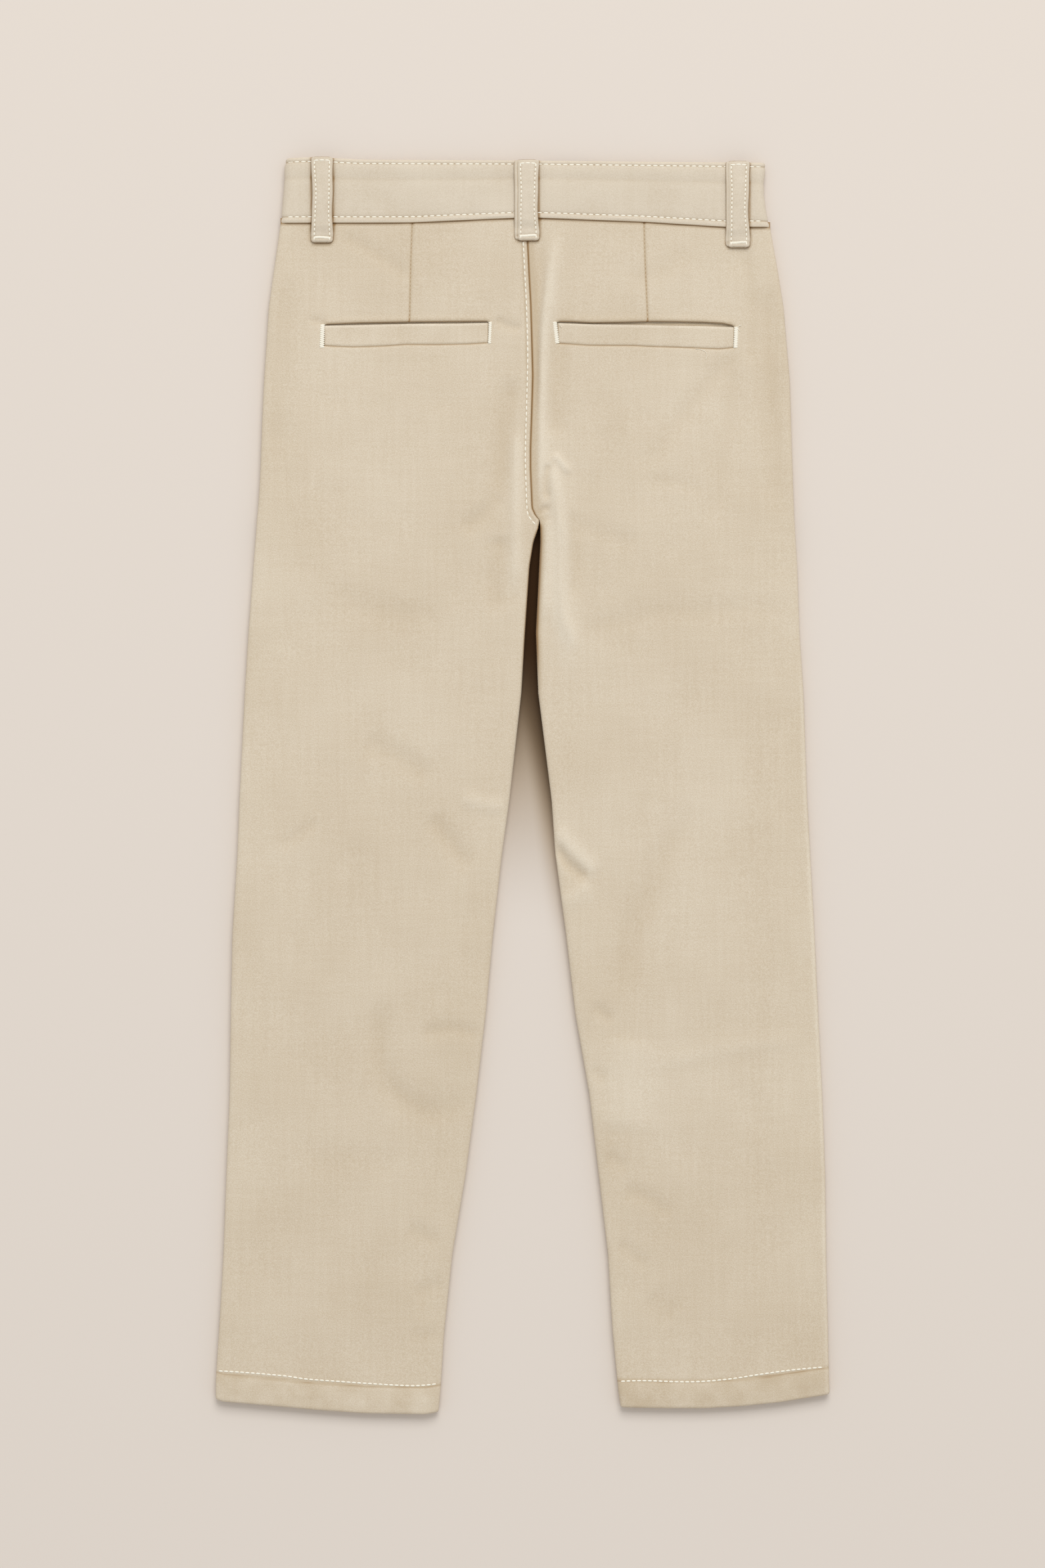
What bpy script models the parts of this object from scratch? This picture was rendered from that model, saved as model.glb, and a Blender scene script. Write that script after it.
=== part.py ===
"""Child's chino trousers, laid flat with the back up.

Metres. +Z is up off the surface, +Y runs from the hems to the waist, and +X is the wearer's right.
The origin is on the surface, under the middle of the garment. The backs are the upper walls and the
fronts the lower ones. Sizes below are in millimetres and become metres where points are placed.
"""
import math
from collections import namedtuple

import bmesh
import bpy
import numpy as np

MM = 0.001

# driving sizes
CLOTH = 1.5              # wall of one layer of twill
BAND = 2.0               # wall of the doubled waistband
LOOP = 1.5               # wall of a belt loop
GAP = 0.3                # between sewn pieces
LEG_HEIGHT = 6.8         # both walls and the air between them
BAND_HEIGHT = 7.8        # the same at the waistband
STACK_RISE = 1.2         # how far the overlapped front lifts the band's middle
STACK_REACH = 60.0
ROLL = 4.5               # reach of the rolled side and inseam edges
SEAT_MARGIN = 14.0       # the strip beside the seat seam, as wide as its ridge
CROTCH = 158.0           # height of the crotch above the origin
CROTCH_BLEND = 20.0      # the length over which the seat seam turns into two inseams
CROTCH_GAP = 0.8         # added to the seam where the walls turn up into the crotch
HEM_TOP = -358.0         # where the turned-up hem ends
WAIST_ROW = 336.0        # height of the panels' last row, before the waist seam's own curve
HEM_BLEND = -300.0       # above this the hem's own curve has faded out of the rows
WAIST_BLEND = 300.0      # above this the waist seam's curve comes in
BAND_WIDTH = 38.0
LOOP_WIDTH = 13.6
LOOP_DROP = 12.0         # how far a loop reaches below the band
LOOP_SLACK = 0.8         # room for a belt under the middle of a loop
LOOP_CLEAR = 0.5         # under a back loop, so that its straight facets miss the curved cloth
LOOP_TOP = 0.8           # how far a loop stands above the band
LOOP_STEP = (-6.0, -1.0)  # where a loop steps down to the panel, from the waist seam
WELT_MARGIN = 7.0        # how far a pocket facing reaches past its mouth
BUTTON_RADIUS = 8.5
BUTTON_THICKNESS = 1.9
BUTTON_Y = 355.0
LIFT_MARGIN = 18.0       # flat part of the rise over what lies on the underside
LIFT_RAMP = 20.0
BUTTON_RAMP = 60.0       # long, because two layers pass over the button
LOOP_LIFT = (270.0, 305.0)   # heights between which the front rises over a loop
LAP_LIFT = (140.0, 172.0)    # heights between which the right front rises over the left one
STACK_START = 250.0      # height where the backs start to rise over the stack at the waist
CENTRE_FRONT = 3.0
CENTRE_BACK = 3.8
LEFT_OVERLAP = 15.0      # where the left front's edge ends, outside
RIGHT_UNDERLAP = -22.0   # where the right front's edge ends, inside
FLY_BOTTOM = 190.0

Section = namedtuple("Section", "y side back_inner front_inner")
Fold = namedtuple("Fold", "path width height")
Edge = namedtuple("Edge", "x y")
Loop = namedtuple("Loop", "name x face")
Welt = namedtuple("Welt", "name x0 x1 low0 low1 top0 top1 slit")

# Outline of each leg: the side edge, the inner edge of the back and that of the front.
# Above the crotch the inner edges are the seat seam and the fly.
LEFT_SECTIONS = [
    Section(-375.0, -183.6, -50.0, -50.0),
    Section(-364.8, -183.6, -49.0, -49.0),
    Section(-328.8, -181.6, -46.8, -46.8),
    Section(-280.8, -179.0, -41.8, -41.8),
    Section(-184.8, -175.2, -27.4, -27.4),
    Section(-88.8, -173.6, -17.4, -17.4),
    Section(-8.8, -169.4, -7.6, -7.6),
    Section(55.2, -166.2, -0.5, -0.5),
    Section(91.2, -164.0, 1.7, 1.7),
    Section(131.2, -161.0, 4.8, 4.8),
    Section(150.0, -159.6, 8.4, 8.4),
    Section(158.0, -159.0, 9.8, 9.8),
    Section(166.0, -158.2, 5.6, 5.6),
    Section(178.0, -157.4, 4.8, 4.0),
    Section(FLY_BOTTOM, -156.8, 4.6, 10.0),
    Section(201.0, -156.4, 4.5, LEFT_OVERLAP),
    Section(245.0, -154.5, 5.8, LEFT_OVERLAP),
    Section(287.0, -151.8, 4.8, LEFT_OVERLAP),
    Section(324.0, -146.4, 2.8, LEFT_OVERLAP),
    Section(342.0, -144.0, 2.8, LEFT_OVERLAP),
]
RIGHT_SECTIONS = [
    Section(-375.0, 184.2, 58.8, 58.8),
    Section(-364.8, 183.8, 57.4, 57.4),
    Section(-328.8, 183.2, 54.2, 54.2),
    Section(-280.8, 182.2, 51.4, 51.4),
    Section(-184.8, 179.8, 40.2, 40.2),
    Section(-88.8, 175.2, 26.2, 26.2),
    Section(-8.8, 170.8, 17.6, 17.6),
    Section(55.2, 168.6, 9.4, 9.4),
    Section(91.2, 166.2, 7.6, 7.6),
    Section(131.2, 164.8, 9.6, 9.6),
    Section(150.0, 163.6, 11.6, 11.6),
    Section(158.0, 163.2, 10.6, 10.6),
    Section(166.0, 162.8, 6.1, 6.1),
    Section(178.0, 162.4, 5.3, 4.6),
    Section(FLY_BOTTOM, 162.0, 5.1, -12.0),
    Section(201.0, 161.6, 5.0, RIGHT_UNDERLAP),
    Section(245.0, 160.2, 6.3, RIGHT_UNDERLAP),
    Section(287.0, 156.6, 5.3, RIGHT_UNDERLAP),
    Section(324.0, 150.6, 3.3, RIGHT_UNDERLAP),
    Section(342.0, 147.6, 3.3, RIGHT_UNDERLAP),
]

# The folded hem edges, the seam between panels and waistband, and the band's top edge.
LEFT_HEM = [Edge(-183.0, -366.4), Edge(-154.7, -369.7), Edge(-93.7, -374.6), Edge(-50.0, -374.6)]
RIGHT_HEM = [Edge(58.0, -371.4), Edge(109.2, -371.6), Edge(154.0, -368.0), Edge(184.1, -363.2)]
WAIST_SEAM = [Edge(-145.0, 336.2), Edge(-67.4, 336.4), Edge(3.0, 339.4), Edge(73.8, 336.8),
              Edge(122.0, 333.8), Edge(149.0, 333.8)]
BAND_TOP = [Edge(-142.0, 375.2), Edge(-97.0, 374.4), Edge(3.0, 373.6), Edge(146.0, 372.5)]
BAND_SIDES = {"left": [Edge(-144.0, 336.0), Edge(-143.0, 355.0), Edge(-141.4, 374.0)],
              "right": [Edge(147.6, 336.0), Edge(144.8, 355.0), Edge(145.6, 374.0)]}

# The largest folds of the backs: height above the cloth, or below it where negative.
FOLDS = [
    Fold([(13.4, 296.0), (12.4, 207.0), (11.6, 176.0)], 7.0, 2.2),      # ridge along the seat seam
    Fold([(18.6, 196.0), (22.8, 150.0), (26.6, 94.0)], 8.0, 4.2),       # ridge over the right inseam
    Fold([(-9.4, 223.0), (-14.4, 167.0), (-12.4, 123.0)], 8.0, -1.2),
    Fold([(-2.0, 200.0), (-3.0, 150.0)], 7.0, 2.0),
    Fold([(146.6, 303.0), (152.0, 159.0)], 9.0, -0.9),                  # hollow inside the right side
    Fold([(102.6, -8.8), (66.6, -88.8), (58.6, -128.8)], 12.0, -1.1),
    Fold([(66.0, -149.0), (60.0, -209.0)], 16.0, 1.0),
    Fold([(-95.4, 27.0), (-53.4, 3.0), (-33.4, -49.0)], 10.0, -1.0),
    Fold([(-85.4, -129.0), (-81.4, -177.0), (-57.4, -195.0), (-29.4, -187.0)], 11.0, -1.1),
    Fold([(-37.4, -6.8), (-12.0, -12.8)], 9.0, 0.9),
]

LOOPS = [
    Loop("belt_loop_back_left", -119.6, "back"),
    Loop("belt_loop_back_centre", CENTRE_BACK, "back"),
    Loop("belt_loop_back_right", 129.4, "back"),
    Loop("belt_loop_front_left", -68.0, "front"),
    Loop("belt_loop_front_right", 74.0, "front"),
]

# Pocket mouths: ends, lower and upper edge at each end, and the width of the open slit.
WELTS = [
    Welt("left", -119.0, -19.6, 262.8, 264.4, 275.6, 277.4, 0.6),
    Welt("right", 20.6, 127.4, 264.8, 261.6, 277.4, 274.4, 1.6),
]
CUT_HEIGHTS = (3.0, 12.0)    # a mouth is cut through the back but not the front

# Rows of each panel, by zone: first height, last height, rows of the back, rows of the front.
Zone = namedtuple("Zone", "low high back front")
ZONES = [
    Zone(-375.0, HEM_TOP, 1, 1),
    Zone(HEM_TOP, 60.0, 14, 8),
    Zone(60.0, 180.0, 10, 7),
    Zone(180.0, WAIST_ROW, 9, 9),
]
FLAT_COLUMNS = 9

# A rolled edge from the side seam to the flat cloth, as shares of its reach and height. The last
# column is the reach beside the seat seam, where the cloth stays level.
Roll = namedtuple("Roll", "reach rise level")
ROLLS = {
    "back": [Roll(0.0, 0.0, 0.0), Roll(0.0, 0.4, 0.25), Roll(0.3, 0.85, 0.6), Roll(1.0, 1.0, 1.0)],
    "front": [Roll(0.0, 0.0, 0.0), Roll(0.0, 0.5, 0.5), Roll(1.0, 1.0, 1.0)],
}

CLOTH_COLOUR = (0.63, 0.53, 0.41)
BAND_COLOUR = (0.65, 0.56, 0.44)
FACING_COLOUR = (0.58, 0.48, 0.37)
BUTTON_COLOUR = (0.42, 0.33, 0.24)


# shared geometry

def along(edge, x):
    """Height of an edge table at x."""
    return float(np.interp(x, [row.x for row in edge], [row.y for row in edge]))


def section_value(sections, column, y):
    """One column of a leg's section table at height y."""
    return float(np.interp(y, [row.y for row in sections], [getattr(row, column) for row in sections]))


def smooth(low, high, value):
    """0 below low, 1 above high, and a soft step between them."""
    t = min(max((value - low) / (high - low), 0.0), 1.0)
    return t * t * (3.0 - 2.0 * t)


def path_distance(path, x, y):
    """Distance from (x, y) to the nearest stretch of a fold's path."""
    nearest = math.inf
    for (ax, ay), (bx, by) in zip(path, path[1:]):
        length = (bx - ax) ** 2 + (by - ay) ** 2
        t = min(max(((x - ax) * (bx - ax) + (y - ay) * (by - ay)) / length, 0.0), 1.0)
        nearest = min(nearest, math.hypot(x - ax - t * (bx - ax), y - ay - t * (by - ay)))
    return nearest


def stack_rise(x):
    """Rise of the backs where the fronts and the button lie over each other below them."""
    return STACK_RISE * math.exp(-((x - CENTRE_FRONT) / STACK_REACH) ** 2)


def back_top(x, y):
    """Outer face of the backs: the flat cloth with its largest folds."""
    folds = sum(f.height * math.exp(-(path_distance(f.path, x, y) / f.width) ** 2) for f in FOLDS)
    return LEG_HEIGHT + folds + stack_rise(x) * smooth(STACK_START, WAIST_ROW, y)


def band_top(x):
    """Outer face of the waistband's upper layer."""
    return BAND_HEIGHT + stack_rise(x)


def plateau(distance, half, ramp=LIFT_RAMP):
    """1 over a hidden piece and its margin, falling to 0 over the ramp."""
    return 1.0 - smooth(half + LIFT_MARGIN, half + LIFT_MARGIN + ramp, distance)


def underside(x, y, side, layer):
    """Outer face of the lower layer: on the surface, or raised over the loops, button and overlap."""
    height = 0.0
    for loop in LOOPS:
        if loop.face == "front":
            over = plateau(abs(x - loop.x), LOOP_WIDTH / 2)
            height = max(height, (LOOP + GAP) * over * smooth(*LOOP_LIFT, y))
    reach = math.hypot(x - CENTRE_FRONT, y - BUTTON_Y)
    height = max(height, (BUTTON_THICKNESS + GAP) * plateau(reach, BUTTON_RADIUS, BUTTON_RAMP))
    if side == "right":
        overlap = plateau(x, LEFT_OVERLAP) * smooth(*LAP_LIFT, y)
        height += (layer + GAP) * overlap
    return height


def paint(obj, colour, roughness, metallic=0.0):
    """Give an object its own Principled material."""
    material = bpy.data.materials.new(obj.name + "_material")
    material.use_nodes = True
    shader = material.node_tree.nodes["Principled BSDF"]
    shader.inputs["Base Color"].default_value = (*colour, 1.0)
    shader.inputs["Roughness"].default_value = roughness
    shader.inputs["Metallic"].default_value = metallic
    obj.data.materials.append(material)


def sheet(name, columns, rows, place, thickness, face_down=False):
    """A grid of cloth: place(u, v) gives each point in mm, and Solidify adds the wall inwards."""
    grid = bmesh.new()
    bmesh.ops.create_grid(grid, x_segments=columns, y_segments=rows, size=1.0)
    for vert in grid.verts:
        u = (vert.co.x + 1.0) / 2.0
        v = (vert.co.y + 1.0) / 2.0
        vert.co = [value * MM for value in place(u, v)]
    if face_down:
        bmesh.ops.reverse_faces(grid, faces=grid.faces[:])
    mesh = bpy.data.meshes.new(name)
    grid.to_mesh(mesh)
    grid.free()
    obj = bpy.data.objects.new(name, mesh)
    parts.objects.link(obj)
    wall = obj.modifiers.new("wall", "SOLIDIFY")
    wall.thickness = thickness * MM
    wall.offset = -1.0
    wall.use_even_offset = True
    return obj


def turn_up_hem(obj):
    """Double the wall below the hem's stitching, clear of the rolled edges."""
    group = obj.vertex_groups.new(name="hem")
    left = obj.name.endswith("left")
    sections = LEFT_SECTIONS if left else RIGHT_SECTIONS
    for vert in obj.data.vertices:
        x, y = vert.co.x / MM, vert.co.y / MM
        edges = (section_value(sections, "side", y), section_value(sections, "back_inner", y))
        inside = min(abs(x - edge) for edge in edges) > ROLL - GAP
        if y < HEM_TOP + GAP and inside:
            group.add([vert.index], 1.0, "REPLACE")
    wall = obj.modifiers["wall"]
    wall.thickness = 2 * CLOTH * MM
    wall.vertex_group = group.name
    wall.thickness_vertex_group = 0.5


# leg panels

def row_height(v, face):
    """Height of a panel's row, from its zone table."""
    counts = [getattr(zone, face) for zone in ZONES]
    row = v * sum(counts)
    for zone, count in zip(ZONES, counts):
        if row <= count + 1e-6:
            return zone.low + (zone.high - zone.low) * row / count
        row -= count
    return ZONES[-1].high


def panel(side, face):
    """One cut leg, back or front, from the hem to the waist seam."""
    sections = LEFT_SECTIONS if side == "left" else RIGHT_SECTIONS
    hem = LEFT_HEM if side == "left" else RIGHT_HEM
    rolls = ROLLS[face]
    roll_columns = len(rolls) - 1
    columns = 2 * roll_columns + FLAT_COLUMNS
    rows = sum(getattr(zone, face) for zone in ZONES)
    inward = 1.0 if side == "left" else -1.0
    middle = LEG_HEIGHT / 2

    def outer_face(x, y):
        return back_top(x, y) if face == "back" else underside(x, y, side, CLOTH)

    def place(u, v):
        y = row_height(v, face)
        column = round((u if side == "left" else 1.0 - u) * columns)
        x_side = section_value(sections, "side", y)
        x_inner = section_value(sections, face + "_inner", y)
        seat = smooth(CROTCH - CROTCH_BLEND, CROTCH + 4.0, y)
        margin = ROLL + (SEAT_MARGIN - ROLL) * seat
        start, end = x_side + inward * ROLL, x_inner - inward * margin
        if column < roll_columns:
            roll = rolls[column]
            x = x_side + inward * ROLL * roll.reach
            rise = roll.rise
        elif column > columns - roll_columns:
            roll = rolls[columns - column]
            x = x_inner - inward * margin * (roll.reach + (roll.level - roll.reach) * seat)
            rise = seat + (1.0 - seat) * roll.rise
        else:
            x = start + (end - start) * (column - roll_columns) / FLAT_COLUMNS
            rise = 1.0
        crotch = math.exp(-((y - CROTCH + CROTCH_BLEND / 2) / CROTCH_BLEND) ** 2)
        seam = (GAP / 2 + CROTCH_GAP * crotch) * (1.0 if face == "back" else -1.0)
        z = middle + seam + (outer_face(x, y) - middle - seam) * rise
        low = along(hem, x) - ZONES[0].low
        high = along(WAIST_SEAM, x) - GAP - WAIST_ROW
        y += low * (1.0 - smooth(ZONES[0].low, HEM_BLEND, y)) + high * smooth(WAIST_BLEND, WAIST_ROW, y)
        return x, y, z

    obj = sheet(f"{face}_{side}", columns, rows, place, CLOTH, face_down=face == "front")
    turn_up_hem(obj)
    paint(obj, CLOTH_COLOUR, 0.9)
    return obj


# waistband

BAND_BACK_COLUMNS = 8
BAND_ROLL_COLUMNS = 6
BAND_FRONT_COLUMNS = 14
BAND_ROWS = 4


def waistband(side):
    """Half the doubled band, from the centre back round the side to its end at the front."""
    inward = 1.0 if side == "left" else -1.0
    start = CENTRE_BACK - inward * GAP / 2
    end = LEFT_OVERLAP if side == "left" else RIGHT_UNDERLAP
    columns = BAND_BACK_COLUMNS + BAND_ROLL_COLUMNS + BAND_FRONT_COLUMNS

    def place(u, v):
        column = (1.0 - u if side == "left" else u) * columns
        edge_rows = [Edge(row.y, row.x) for row in BAND_SIDES[side]]
        height = WAIST_ROW + BAND_WIDTH * v
        x_side = along(edge_rows, height)
        straight = x_side + inward * ROLL
        if column <= BAND_BACK_COLUMNS:
            x = start + (straight - start) * column / BAND_BACK_COLUMNS
            z = band_top(x)
        elif column < BAND_BACK_COLUMNS + BAND_ROLL_COLUMNS:
            turn = math.radians(180.0) * (column - BAND_BACK_COLUMNS) / BAND_ROLL_COLUMNS
            x = straight - inward * ROLL * math.sin(turn)
            z = BAND_HEIGHT / 2 * (1.0 + math.cos(turn))
        else:
            step = (column - BAND_BACK_COLUMNS - BAND_ROLL_COLUMNS) / BAND_FRONT_COLUMNS
            x = straight + (end - straight) * step
            z = underside(x, height, side, BAND)
        low, high = along(WAIST_SEAM, x), along(BAND_TOP, x)
        return x, low + (high - low) * v, z

    obj = sheet("waistband_" + side, columns, BAND_ROWS, place, BAND)
    paint(obj, BAND_COLOUR, 0.9)
    return obj


# belt loops

def belt_loop(loop):
    """A strip over the band, sewn at its top and below the band, with slack between."""
    def place(u, v):
        x = loop.x + (u - 0.5) * LOOP_WIDTH
        seam = along(WAIST_SEAM, loop.x)
        top = along(BAND_TOP, loop.x) + LOOP_TOP
        y = seam - LOOP_DROP + (top - seam + LOOP_DROP) * v
        if loop.face == "front":
            return x, y, 0.0
        slack = LOOP_SLACK * math.sin(math.pi * min(max((y - seam) / (top - seam), 0.0), 1.0))
        step = smooth(seam + LOOP_STEP[0], seam + LOOP_STEP[1], y)
        face = back_top(x, y) + (band_top(x) - back_top(x, y)) * step
        return x, y, face + LOOP_CLEAR + slack + LOOP

    obj = sheet(loop.name, 2, 9, place, LOOP, face_down=loop.face == "front")
    paint(obj, BAND_COLOUR, 0.9)
    return obj


# back pockets

def welt_edges(welt, x):
    """Lower and upper edge of a pocket's mouth at x."""
    t = (x - welt.x0) / (welt.x1 - welt.x0)
    return welt.low0 + (welt.low1 - welt.low0) * t, welt.top0 + (welt.top1 - welt.top0) * t


def cut_mouth(back, welt):
    """Cut the pocket's mouth through its back panel."""
    outline = [(x * MM, y * MM) for x in (welt.x0, welt.x1) for y in welt_edges(welt, x)]
    cutter_mesh = bpy.data.meshes.new("mouth_" + welt.name)
    box = bmesh.new()
    bmesh.ops.create_cube(box, size=1.0)
    for vert in box.verts:
        end = 0 if vert.co.x < 0 else 2
        x, y = outline[end + (1 if vert.co.y > 0 else 0)]
        vert.co = (x, y, CUT_HEIGHTS[0 if vert.co.z < 0 else 1] * MM)
    box.to_mesh(cutter_mesh)
    box.free()
    cutter = bpy.data.objects.new("mouth_" + welt.name, cutter_mesh)
    cutter.hide_render = True
    cutter.display_type = "WIRE"
    cutters.objects.link(cutter)
    cut = back.modifiers.new("pocket mouth", "BOOLEAN")
    cut.operation = "DIFFERENCE"
    cut.object = cutter


def pocket_welt(welt):
    """The folded strip that fills the mouth up to its slit."""
    def place(u, v):
        x = welt.x0 + GAP + (welt.x1 - welt.x0 - 2 * GAP) * u
        low, high = welt_edges(welt, x)
        y = low + GAP + (high - welt.slit - low - GAP) * v
        return x, y, back_top(x, y)

    obj = sheet("pocket_welt_" + welt.name, 10, 2, place, CLOTH)
    paint(obj, CLOTH_COLOUR, 0.9)
    return obj


def pocket_facing(welt):
    """The layer that shows inside the slit, under the panel."""
    def place(u, v):
        x = welt.x0 - WELT_MARGIN + (welt.x1 - welt.x0 + 2 * WELT_MARGIN) * u
        low, high = welt_edges(welt, x)
        y = low - WELT_MARGIN + (high - low + 2 * WELT_MARGIN) * v
        return x, y, back_top(x, y) - CLOTH - 2 * GAP

    obj = sheet("pocket_facing_" + welt.name, 10, 2, place, CLOTH - GAP)
    paint(obj, FACING_COLOUR, 0.9)
    return obj


# waist button

def waist_button():
    """A flat round button on the outside of the front band."""
    disc = bmesh.new()
    bmesh.ops.create_cone(disc, cap_ends=True, segments=32, radius1=BUTTON_RADIUS * MM,
                          radius2=BUTTON_RADIUS * MM, depth=BUTTON_THICKNESS * MM)
    mesh = bpy.data.meshes.new("waist_button")
    disc.to_mesh(mesh)
    disc.free()
    obj = bpy.data.objects.new("waist_button", mesh)
    obj.location = (CENTRE_FRONT * MM, BUTTON_Y * MM, BUTTON_THICKNESS / 2 * MM)
    parts.objects.link(obj)
    paint(obj, BUTTON_COLOUR, 0.4)


for old in list(bpy.data.objects):
    bpy.data.objects.remove(old)
parts = bpy.data.collections.new("chino_trousers")
cutters = bpy.data.collections.new("cutters")
bpy.context.scene.collection.children.link(parts)
bpy.context.scene.collection.children.link(cutters)

for garment_side, pocket in zip(("left", "right"), WELTS):
    back_panel = panel(garment_side, "back")
    cut_mouth(back_panel, pocket)
    pocket_welt(pocket)
    pocket_facing(pocket)
    panel(garment_side, "front")
    waistband(garment_side)
for strip in LOOPS:
    belt_loop(strip)
waist_button()
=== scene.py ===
"""A child's chino trousers, laid flat with the back up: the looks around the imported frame.

Sizes are in millimetres unless a name says otherwise, and become metres where points are placed.
"""
import math
from collections import namedtuple

import bmesh
import bpy
import numpy as np
from mathutils import Matrix, Vector, noise


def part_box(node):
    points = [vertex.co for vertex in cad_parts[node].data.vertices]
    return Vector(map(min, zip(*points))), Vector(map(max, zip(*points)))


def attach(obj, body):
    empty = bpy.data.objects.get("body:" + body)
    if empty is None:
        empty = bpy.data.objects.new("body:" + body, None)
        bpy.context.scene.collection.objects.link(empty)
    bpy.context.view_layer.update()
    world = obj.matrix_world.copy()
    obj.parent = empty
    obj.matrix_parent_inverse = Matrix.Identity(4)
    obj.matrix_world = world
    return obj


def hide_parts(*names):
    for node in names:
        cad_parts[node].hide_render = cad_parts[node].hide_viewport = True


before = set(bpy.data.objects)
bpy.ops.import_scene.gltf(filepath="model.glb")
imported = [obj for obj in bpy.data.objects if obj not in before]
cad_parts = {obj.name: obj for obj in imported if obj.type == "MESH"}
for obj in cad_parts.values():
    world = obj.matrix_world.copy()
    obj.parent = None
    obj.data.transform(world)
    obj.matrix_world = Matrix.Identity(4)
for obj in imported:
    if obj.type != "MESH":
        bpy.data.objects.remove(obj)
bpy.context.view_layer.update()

# ---------------------------------------------------------------------------------------------
# Camera. It hangs straight above the garment, with a long lens, so the two legs hardly lean.

MM = 0.001
VIEW_HEIGHT = 940.8            # what the view takes in, from top to bottom
CAMERA_HEIGHT = 2300.0
SENSOR = 36.0

camera = bpy.data.objects.new("camera", bpy.data.cameras.new("camera"))
camera.data.sensor_fit = "VERTICAL"
camera.data.sensor_height = SENSOR
camera.data.lens = SENSOR * CAMERA_HEIGHT / VIEW_HEIGHT
camera.location = (0.2 * MM, 0.8 * MM, CAMERA_HEIGHT * MM)
bpy.context.scene.collection.objects.link(camera)
bpy.context.scene.camera = camera
bpy.context.scene.view_settings.view_transform = "Standard"

# ---------------------------------------------------------------------------------------------
# The two backs: cotton twill, cut in one piece each from the waist seam to the hem, and sewn
# together along the seat. They are dyed after sewing, so the colour is clouded; ridges have painted light,
# and troughs and seams painted shade.

LEG_HEIGHT = 6.8               # both walls of a leg and the air between them
STACK_RISE = 1.2               # the fly's layers lift the middle of the waist
STACK_REACH = 60.0
STACK_START = 250.0            # below this height they lift nothing
CENTRE = 3.0                   # where the centre front and back lie
ROLL = 4.5                     # reach of the rolled side and inseam edges
CRISP = 1.7                    # above 1, the edges are pressed sharper than a round roll
SEAT_MARGIN = 14.0             # strip beside the seat seam that becomes the inseam's roll
CROTCH = 158.0
CROTCH_BLEND = 20.0
WALL = 0.8                     # twill of the shown cloth
HEM_FOLD = 1.3                 # radius of the folded hem edge
HEM_DEPTH = 15.6               # from the hem's edge to its stitching
TUCK = 0.8                     # how far the side seams turn in
WAIST_ROW = 336.0
HEM_ROW = -375.0

Edge = namedtuple("Edge", "x y")
Section = namedtuple("Section", "y side back front")
Fold = namedtuple("Fold", "path left right height power")

SECTIONS = {
    "left": [
        Section(-375, -183.6, -50, -50),
        Section(-364.8, -183.6, -49, -49),
        Section(-328.8, -181.6, -46.8, -46.8),
        Section(-280.8, -179, -41.8, -41.8),
        Section(-232.8, -177.2, -33.8, -33.8),
        Section(-184.8, -175.2, -27.4, -27.4),
        Section(-136.8, -174.6, -21.8, -21.8),
        Section(-88.8, -173.6, -17.4, -17.4),
        Section(-40.8, -170.6, -12, -12),
        Section(-8.8, -169.4, -7.6, -7.6),
        Section(55.2, -166.2, -0.5, -0.5),
        Section(91.2, -164, 1.7, 1.7),
        Section(131.2, -161, 4.4, 4.4),
        Section(146, -159.8, 6.8, 6.8),
        Section(154, -159.2, 9.6, 9.6),
        Section(158.6, -158.9, 10.2, 10.2),
        Section(161.5, -158.7, 7.6, 8.4),
        Section(166, -158.2, 5.6, 5.6),
        Section(178, -157.4, 5.1, 4),
        Section(190, -156.8, 4.6, 10),
        Section(201, -156.4, 4.6, 15),
        Section(223, -155.6, 5.3, 15),
        Section(245, -154.5, 5.9, 15),
        Section(287, -151.8, 4.8, 15),
        Section(324, -146.4, 2.8, 15),
        Section(342, -144, 2.6, 15),
    ],
    "right": [
        Section(-375, 184.2, 58.8, 58.8),
        Section(-364.8, 183.8, 57.4, 57.4),
        Section(-328.8, 183.2, 54.2, 54.2),
        Section(-280.8, 182.2, 51.4, 51.4),
        Section(-232.8, 181.6, 45.8, 45.8),
        Section(-184.8, 179.8, 40.2, 40.2),
        Section(-136.8, 177.4, 31.8, 31.8),
        Section(-88.8, 175.2, 26.2, 26.2),
        Section(-40.8, 172.6, 19.8, 19.8),
        Section(-8.8, 170.8, 17.6, 17.6),
        Section(55.2, 168.6, 9.6, 9.6),
        Section(91.2, 166.2, 8.2, 8.2),
        Section(131.2, 164.8, 10.2, 10.2),
        Section(146, 163.8, 10.9, 10.9),
        Section(154, 163.4, 10.9, 10.9),
        Section(158.6, 163.1, 10.7, 10.7),
        Section(161.5, 162.9, 8.1, 8.9),
        Section(166, 162.8, 6.1, 6.1),
        Section(178, 162.4, 5.6, 4.6),
        Section(190, 162, 5.1, -12),
        Section(201, 161.6, 5.1, -22),
        Section(223, 161, 5.8, -22),
        Section(245, 160.2, 6.4, -22),
        Section(287, 156.6, 5.3, -22),
        Section(324, 150.6, 3.3, -22),
        Section(342, 147.6, 3.1, -22),
    ],
}
HEMS = {
    "left": [Edge(-183, -366.4), Edge(-179, -367.6), Edge(-154.7, -369.7), Edge(-123, -372.6),
             Edge(-93.7, -374.6), Edge(-58.5, -375.2), Edge(-50, -373.8)],
    "right": [Edge(58, -371), Edge(86.7, -371.6), Edge(109.2, -371.6), Edge(131.6, -370.3),
              Edge(154, -368), Edge(184.1, -363.2)],
}
WAIST_SEAM = [Edge(-145, 336.2), Edge(-67.4, 336.4), Edge(3, 339.4), Edge(73.8, 336.8),
              Edge(122, 333.8), Edge(149, 333.8)]

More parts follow.
